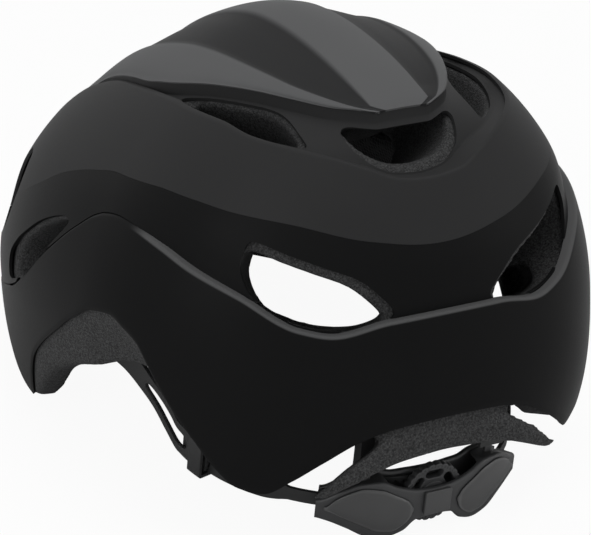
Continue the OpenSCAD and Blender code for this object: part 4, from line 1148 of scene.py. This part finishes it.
# The tile is a small plain plate in the middle of the cover, moulded in the inserts' satin plastic
# with rounded edges, and stuck to the cover's face.
def cut_plate(name, outline, holes, low, high, edge):
    """A flat plate between two heights, with holes and rounded edges, in millimetres about its own middle."""
    drawing = bpy.data.curves.new(name, "CURVE")
    drawing.dimensions, drawing.fill_mode = "2D", "BOTH"
    drawing.extrude, drawing.offset = (high - low) / 2 - edge, -edge
    drawing.bevel_depth, drawing.bevel_resolution = edge, 2
    for loop in [outline] + list(holes):
        line = drawing.splines.new("POLY")
        line.points.add(len(loop) - 1)
        line.points.foreach_set("co", [c for x, y in loop for c in (x, y, 0, 1)])
        line.use_cyclic_u = True
    piece = bpy.data.objects.new(name, drawing)
    scene.collection.objects.link(piece)
    mesh = bpy.data.meshes.new_from_object(piece.evaluated_get(bpy.context.evaluated_depsgraph_get()))
    bpy.data.objects.remove(piece)
    work = bmesh.new()
    work.from_mesh(mesh)
    bmesh.ops.remove_doubles(work, verts=work.verts, dist=1e-4)
    work.to_mesh(mesh)
    points = np.array([v.co for v in mesh.vertices]) + [0, 0, (low + high) / 2]
    return points, [tuple(face.vertices) for face in mesh.polygons]


def ring(radius, n):
    a = np.linspace(0, 2 * math.pi, n, endpoint=False)
    return np.stack([radius * np.cos(a), radius * np.sin(a)], 1)


def soft_box(w, h, r, n=6):
    """A rectangle of the given half sizes with round corners."""
    corners = [(w - r, h - r, 0), (-w + r, h - r, 90), (-w + r, -h + r, 180), (w - r, -h + r, 270)]
    return [(x + r * math.cos(math.radians(s + 90 * i / n)), y + r * math.sin(math.radians(s + 90 * i / n)))
            for x, y, s in corners for i in range(n + 1)]


points, faces = cut_plate("tile", soft_box(5.8, 5.2, 0.9), [], 0, 1.4, 0.25)
places = from_cradle(np.stack([points[:, 0], -76.4 - points[:, 2], 2 + points[:, 1]], 1))
tile = loose("blank_tile", places, faces)
finished(tile, paint_insert, "cradle", "insert", "centre_tile")

# Two small steel screws hold the cover and the base plate together from the head's side.
# Each has a flat head with a hexagonal socket, and a plain shaft.
paint_steel = Paint("steel", Base_Color=(0.45, 0.46, 0.47), Metallic=1.0)
paint_steel.set(Roughness=0.25 + 0.15 * paint_steel.noise(900, 3, stretch=(1, 6, 1)))
screws = []
SCREW_ANGLE, SCREW_RADIUS, SCREW_Z = math.radians(17), 65.8, -9.6
c, k = math.cos(SCREW_ANGLE), math.sin(SCREW_ANGLE)
screw_head = cut_plate("head", ring(2.4, 32), [ring(1.15, 6)], -3.4, -2.0, 0.2)
shaft = spun([(0, -2.8), (1.1, -2.8), (2.2, -2.3), (1.1, -1.9), (1.1, 8.4), (0.9, 8.6), (0, 8.6)], 24)
for s in (1, -1):
    for part, (points, faces) in enumerate((screw_head, shaft)):
        x, y, z = points[:, 0], -SCREW_RADIUS - points[:, 2], SCREW_Z + points[:, 1]
        place = from_cradle(np.stack([s * (x * c - y * k), x * k + y * c, z], 1))
        screws.append(loose("screw_%d_%d" % (s, part), place, faces))
finished(joined("cradle_screws", screws), paint_steel, "cradle", "steel", "housing_screws")


# The height arms are two flat tongues on an arc about the temple pins, narrower below the guides.
# Small ribs on them click in the guides.
PIN_Y, PIN_Z, ARM_RADIUS, ARM_X = 2, 50, 125.4, 27.5


def arm_at(b, x):
    """A place on the arms' arc, b degrees below the height of the pins."""
    b = np.radians(b)
    return rest(np.stack(np.broadcast_arrays(x, PIN_Y - ARM_RADIUS * np.cos(b),
                                             PIN_Z - ARM_RADIUS * np.sin(b)), -1))


tongues = []
for s in (1, -1):
    points, faces, b, x = skin(np.linspace(9.3, 21.8, 30), np.linspace(-3.75, 3.75, 8),
                               lambda b, x: arm_at(b, s * ARM_X + x * (1 - 0.6 * ease((b - 14) / 3))))
    tongue = loose("tongue_%d" % s, points, faces)
    if tongue.data.polygons[0].normal.y > 0:
        tongue.data.flip_normals()
    shell(tongue, 2.0, 0.4)
    settled(tongue)
    tongues.append(tongue)
for s in (1, -1):
    for b in np.linspace(10.4, 13.6, 4):
        points, faces = spun([(0, -2.6), (0.35, -2.5), (0.5, -2.2), (0.5, 2.2), (0.35, 2.5), (0, 2.6)], 12)
        middle = arm_at(b, s * ARM_X)
        rib = loose("rib", points[:, [2, 1, 0]] * 0.001 + middle, faces)
        tongues.append(rib)
finished(joined("height_tongues", tongues), paint_plastic, "cradle", "cradle_plastic", "height_arms")


# The dial sticks out above and below the cover. Its rim is scalloped for the thumb, six windows lighten it,
# and a ring of short ribs stands on its face.
def grip_tree():
    """Geometry nodes: short ribs standing round a circle."""
    numbers = [("Count", "Int")] + [(label, "Float") for label in ("Radius", "Length", "Width", "Height")]
    tree, nodes = bead_group("grip_ribs", numbers, "Plastic")
    for key, kind in (("circle", "CurvePrimitiveCircle"), ("spots", "CurveToPoints"),
                      ("store", "CaptureAttribute")):
        nodes[key] = tree.nodes.new("GeometryNode" + kind)
    nodes["spots"].mode, nodes["aim"].axis = "COUNT", "Y"
    nodes["circle"].inputs["Resolution"].default_value = 96
    nodes["store"].capture_items.new("VECTOR", "along")
    wire(tree, nodes, ("start", "Radius", "circle", "Radius"), ("start", "Count", "spots", "Count"),
         ("spots", "Points", "put", "Points"), ("start", "Length", "size", 0), ("start", "Width", "size", 1),
         ("start", "Height", "size", 2), ("circle", 0, "store", "Geometry"), ("tangent", 0, "store", 1),
         ("store", "Geometry", "spots", "Curve"), ("store", 1, "aim", "Vector"))
    return tree


paint_dial = plastic("dial_plastic", *MOULDED)
DIAL_RADIUS, WINDOW_RADIUS, AXLE_HOLE = 12.8, 8.4, 2.1
scallops = np.radians(np.arange(0, 360, 1.5))
rim = DIAL_RADIUS - 0.5 * np.abs(np.cos(scallops * 12)) ** 6
outline = np.stack([rim * np.cos(scallops), rim * np.sin(scallops)], 1)
windows = []
for k in range(6):
    c, s = math.cos(math.radians(60 * k + 90)), math.sin(math.radians(60 * k + 90))
    window = [(WINDOW_RADIUS + x, y) for x, y in soft_box(1.7, 3.9, 1.65)]
    windows.append([(c * x - s * y, s * x + c * y) for x, y in window])
points, faces = cut_plate("wheel", outline, windows + [ring(AXLE_HOLE, 40)], 1.3, 4.5, 0.4)
wheel = loose("wheel", on_axle(points), faces)
points, faces = cut_plate("hub", ring(5.2, 64), [ring(AXLE_HOLE, 40)], 4.3, 4.9, 0.2)
hub = loose("hub", on_axle(points), faces)
ribs = bpy.data.objects.new("ribs", bpy.data.meshes.new("ribs"))
scene.collection.objects.link(ribs)
with_nodes(ribs, grip_tree(), Count=48, Radius=11.5, Length=1.1, Width=0.5, Height=0.5,
           Plastic=paint_dial.material)
spots = np.array([v.co for v in ribs.data.vertices]) + [0, 0, 4.5]
ribs.data.vertices.foreach_set("co", on_axle(spots).ravel())
finished(joined("dial_wheel_piece", [wheel, hub, ribs]), paint_dial, "dial", "cradle_plastic", "dial_wheel")

# The pinion is a small pale gear of acetal on the dial's back. It is moulded with ten teeth, turns with
# the dial and drives both rack straps.
paint_acetal = Paint("acetal", Base_Color=(0.55, 0.55, 0.53), Roughness=0.35)
paint_acetal.set(Roughness=0.32 + 0.1 * paint_acetal.noise(700, 2))
TEETH, PITCH_RADIUS = 10, 5
teeth = []
for k in range(TEETH):
    for r, w in ((4.05, -9.5), (4.9, -6), (5.55, -3.2), (5.55, 3.2), (4.9, 6), (4.05, 9.5)):
        teeth.append((r * math.cos(math.radians(36 * k + w)), r * math.sin(math.radians(36 * k + w))))
points, faces = cut_plate("gear", teeth, [ring(AXLE_HOLE, 40)], -1.2, 1.2, 0.12)
finished(loose("pinion_gear", on_axle(points), faces), paint_acetal, "dial", "pinion_plastic", "drive_pinion")

# The rack straps are thin nylon bands that run round the head. The dial's pinion pulls their toothed ends
# past each other, and the long slot in each lets the temple strap's loop hold it flat.
tooth = 2 * math.pi * PITCH_RADIUS / TEETH / GEAR_RADIUS * 57.2958


RACK_RADIUS, TEETH_END = 69.4, 15.5


def rack(upper):
    """Points and faces of a rack strap, drawn by angle, lower edge and upper edge."""
    line, s = (8.5, 1) if upper else (-1.5, -1)
    spans = []
    for k in range(-2, 6):
        for w, e in ((-0.36, 0.75), (-0.2, -0.6), (0.2, -0.6), (0.36, 0.75)):
            one, two = line + s * e, line + s * 2.3
            spans.append(((k + w) * tooth, min(one, two), max(one, two)))
    spans += ([(15.5, line + 0.75, line + 2.3), (18, line - 0.5, line + 2.3), (22, 4, line + 1.4),
               (26, -1, 6.6), (30, -2.6, 3.4), (34, -3, 2.3)] if upper
            else [(15.5, line - 2.3, line - 0.75), (18, line - 2.3, line), (22, -3.6, 1.2), (26, -3.2, 2.2),
                  (30, -3, 2.6), (34, -3, 2.3)])
    spans += [(38, -3, 2.3), (42, -3, 2.3), (45.5, -3, 2.4), (50, -4.2, 4.6), (54, -5, 6), (58, -5.3, 6.7),
              (62, -5.5, 7), (67, -5.6, 7), (72, -5.8, 7), (77, -5.9, 6.9), (82, -5.9, 6.9), (87, -5.8, 6.8),
              (92, -5, 6)]
    a, lo, hi = np.array(spans).T
    fine_a = np.unique(np.concatenate([a, np.linspace(TEETH_END, 92, 110)]))

    def strap_at(t, f):
        soft_lo, soft_hi = curve(np.stack([a, lo], 1), t), curve(np.stack([a, hi], 1), t)
        below = np.where(t < TEETH_END, np.interp(t, a, lo), soft_lo)
        above = np.where(t < TEETH_END, np.interp(t, a, hi), soft_hi)
        return on_arc(RACK_RADIUS, t, mix(below, above, f))

    slot = rounded([(-1, 0), (-0.93, 0.75), (-0.7, 1), (0, 1.02), (0.7, 1), (0.93, 0.75), (1, 0),
                    (0.93, -0.75), (0.7, -1), (0, -1.02), (-0.7, -1), (-0.93, -0.75)])
    slot_line = np.array([(64.5 + 7.5 * x, 0.5 + 0.28 * y) for x, y in slot])
    return skin(fine_a, np.linspace(0, 1, 16), strap_at, [slot_line])[:2]


paint_strap = plastic("strap_nylon", (0.018, 0.0185, 0.019), (0.024, 0.0245, 0.025), 45, 1600, (0.45, 0.12),
                      (0.00005, 0.6), 0.4)
for name, upper in (("right", False), ("left", True)):
    points, faces = rack(upper)
    if upper:
        points, faces = mirrored(points, faces)
    strap = loose("rack_band_" + name, points, faces)
    probe = strap.data.polygons[0]
    if probe.normal.dot(probe.center - Vector(from_cradle((0, 0, 2)))) < 0:
        strap.data.flip_normals()
    shell(strap, 1.6, 0.3)
    settled(strap)
    finished(strap, paint_strap, "rack_" + name, "cradle_plastic", "rack_strap_" + name)


# The temple straps carry the cradle. Each hangs on a pin in the liner by its eye, runs back and down
# inside the foam, and ends in a loop that the rack strap slides through.
STRAP_RADIUS, EYE_X, LOOP_RADIUS, LOOP_Z = 70.9, 78.6, 70.05, 0.5


def worn_arc(a, z):
    a = math.radians(a)
    return worn_cradle((STRAP_RADIUS * math.sin(a), -STRAP_RADIUS * math.cos(a), z))


route = [(worn_arc(a, 0.5), worn_arc(a, 6.75)) for a in (76, 79, 82, 86, 90, 94)]
lower_route = [(71.5, -38.6, 19), (73.1, -34, 25.2), (75.5, -28, 32), (77.9, -20, 39), (81.1, -11, 44.6),
               (81.2, -3, 47.6)]
upper_route = [(71.5, -42.6, 23.6), (73.1, -39.4, 28.4), (75.5, -33.2, 35.4), (77.9, -24.4, 43.4),
               (81.1, -14.2, 49.6), (81.2, -5, 52.6)]
route += list(zip(np.array(lower_route), np.array(upper_route)))


def along(places, i):
    """A smooth line through places, by their number."""
    p = np.array(places)
    i = np.clip(np.asarray(i, float), 0, len(p) - 1)
    k = np.minimum(i.astype(int), len(p) - 2)
    u = (i - k)[:, None]
    a, b, c, d = p[np.maximum(k - 1, 0)], p[k], p[k + 1], p[np.minimum(k + 2, len(p) - 1)]
    return spline(a, b, c, d, u)


def temple_at(i, w):
    p, q = along([r[0] for r in route], i), along([r[1] for r in route], i)
    round_end = np.sqrt(np.clip(1 - (1 - np.clip(i / 0.7, 0, 1)) ** 2, 0.1, 1))
    out = np.where((i < 5.5)[:, None], (p - [0, CRADLE_Y, 0]) * [1, 1, 0], [1, 0, 0])
    out = out / np.linalg.norm(out, axis=1, keepdims=True)
    return rest(p + (q - p) * (w * round_end)[:, None] + 0.8 * out)


eye_line = rounded([(3.1, 0), (3.5, 0.42), (5, 0.5), (7, 0.48), (7.8, 0.36), (8, 0), (7.8, -0.36), (7, -0.48),
                    (5, -0.5), (3.5, -0.42)])
band_form = skin(np.linspace(0, 11, 130), np.linspace(-1, 1, 18), temple_at, [eye_line])[:2]
eye_plate = cut_plate("eye", ring(7.5, 64), [ring(3.1, 48)], 1.35, 3.85, 0.3)
eye_points = rest(np.stack([EYE_X + eye_plate[0][:, 2], PIN_Y + eye_plate[0][:, 1],
                            PIN_Z - eye_plate[0][:, 0]], 1))
loop_path = np.array([(LOOP_RADIUS + x, LOOP_Z + y) for x, y in soft_box(4.2, 7.85, 1.2)])


def loop_at(u, v):
    i = np.round(u).astype(int) % len(loop_path)
    return on_arc(loop_path[i, 0], v, loop_path[i, 1])


loop_form = skin(np.arange(len(loop_path), dtype=float), np.linspace(76.5, 82.5, 8), loop_at, wrap=True)[:2]
for name, flip in (("right", False), ("left", True)):
    parts = []
    for number, (form, wall, edge) in enumerate(((band_form, 1.6, 0.3), ((eye_points, eye_plate[1]), 0, 0),
                                                 (loop_form, 1.3, 0.25))):
        points, faces = mirrored(*form) if flip else form
        part = loose("temple_%s_%d" % (name, number), points, faces)
        if wall:
            probe = part.data.polygons[len(part.data.polygons) // 2]
            if number == 0 and probe.normal.x * (-1 if flip else 1) < 0:
                part.data.flip_normals()
            shell(part, wall, edge)
            settled(part)
        parts.append(part)
    finished(joined("temple_band_" + name, parts), paint_strap, "cradle", "cradle_plastic",
             "temple_strap_" + name)


# The nape pads are soft foam in the same knitted cover, sewn at the edge. They are stuck to the base plate,
# one on each side.
NAPE_MIDDLE, NAPE_REACH = 19, 9.5


def nape_grid(u, v):
    a = NAPE_MIDDLE + NAPE_REACH * u
    off = np.abs(a - NAPE_MIDDLE)
    z = mix(-6.4 + 0.12 * off, 8.5 - 0.3 * off, (v + 1) / 2)
    a = np.radians(a)
    outer, inner = (worn_cradle(np.stack([r * np.sin(a), -r * np.cos(a), z], -1)) for r in (64.7, 63.7))
    return outer, inner - outer


pad("nape_cushions", [(nape_grid, pad_lift(2.6), 26, 16, True)], "cradle", "nape_pads")

# The temple pins and the guides are small black plastic parts set into the foam. Their solids stay as
# they are and take the same nylon finish.
for node in ("temple_pins", "height_guides"):
    solid = frame["nodes"][node]
    for slot in solid.material_slots:
        slot.material = paint_strap.material

# The studio: a pale floor under soft light from above and both sides, with a white background behind.
# The floor shows nearly white to the camera.
floor_mesh = bpy.data.meshes.new("floor")
floor_mesh.from_pydata([(-4, -4, 0), (4, -4, 0), (4, 4, 0), (-4, 4, 0)], [], [(0, 1, 2, 3)])
floor = bpy.data.objects.new("floor", floor_mesh)
scene.collection.objects.link(floor)
FLOOR_GLOW, SKY_LIGHT, SKY_SEEN = 0.94, 0.38, 1.0
paper = Paint("paper", Base_Color=(0.9, 0.9, 0.9), Roughness=0.9, Specular_IOR_Level=0.1)
floor.data.materials.append(paper.material)
ray = paper.node("ShaderNodeLightPath", {}, {})
glow = paper.node("ShaderNodeEmission", {}, {"Color": (1, 1, 1, 1), "Strength": 1.0})[0]
own = Value(paper, paper.shader.outputs[0])
mixed = paper.node("ShaderNodeMixShader", {}, {0: FLOOR_GLOW * ray["Is Camera Ray"], 1: own, 2: glow})[0]
paper.tree.links.new(mixed.socket, paper.tree.nodes["Material Output"].inputs[0])
world = bpy.data.worlds.new("studio")
scene.world = world
world.use_nodes = True
sky = world.node_tree
path = sky.nodes.new("ShaderNodeLightPath")
seen = path.outputs["Is Camera Ray"]
for other in ("Is Glossy Ray", "Is Transmission Ray"):
    larger = sky.nodes.new("ShaderNodeMath")
    larger.operation = "MAXIMUM"
    sky.links.new(seen, larger.inputs[0])
    sky.links.new(path.outputs[other], larger.inputs[1])
    seen = larger.outputs[0]
strength = sky.nodes.new("ShaderNodeMix")
strength.inputs[2].default_value, strength.inputs[3].default_value = SKY_LIGHT, SKY_SEEN
sky.links.new(seen, strength.inputs[0])
sky.links.new(strength.outputs[0], sky.nodes["Background"].inputs["Strength"])
sky.nodes["Background"].inputs["Color"].default_value = (1, 1, 1, 1)


def lamp(name, where, size, power):
    light = bpy.data.lights.new(name, "AREA")
    light.shape, light.size, light.energy = "SQUARE", size, power
    piece = bpy.data.objects.new(name, light)
    scene.collection.objects.link(piece)
    piece.location = where
    piece.rotation_mode = "QUATERNION"
    piece.rotation_quaternion = (Vector(where) - Vector((0, 0, 0.08))).to_track_quat("Z", "Y")


lamp("over", (0.1, -0.1, 1.4), 1.0, 8)
lamp("left", (-1.3, -0.5, 0.6), 0.8, 4.6)
lamp("right", (1.3, -0.9, 0.25), 0.8, 3)
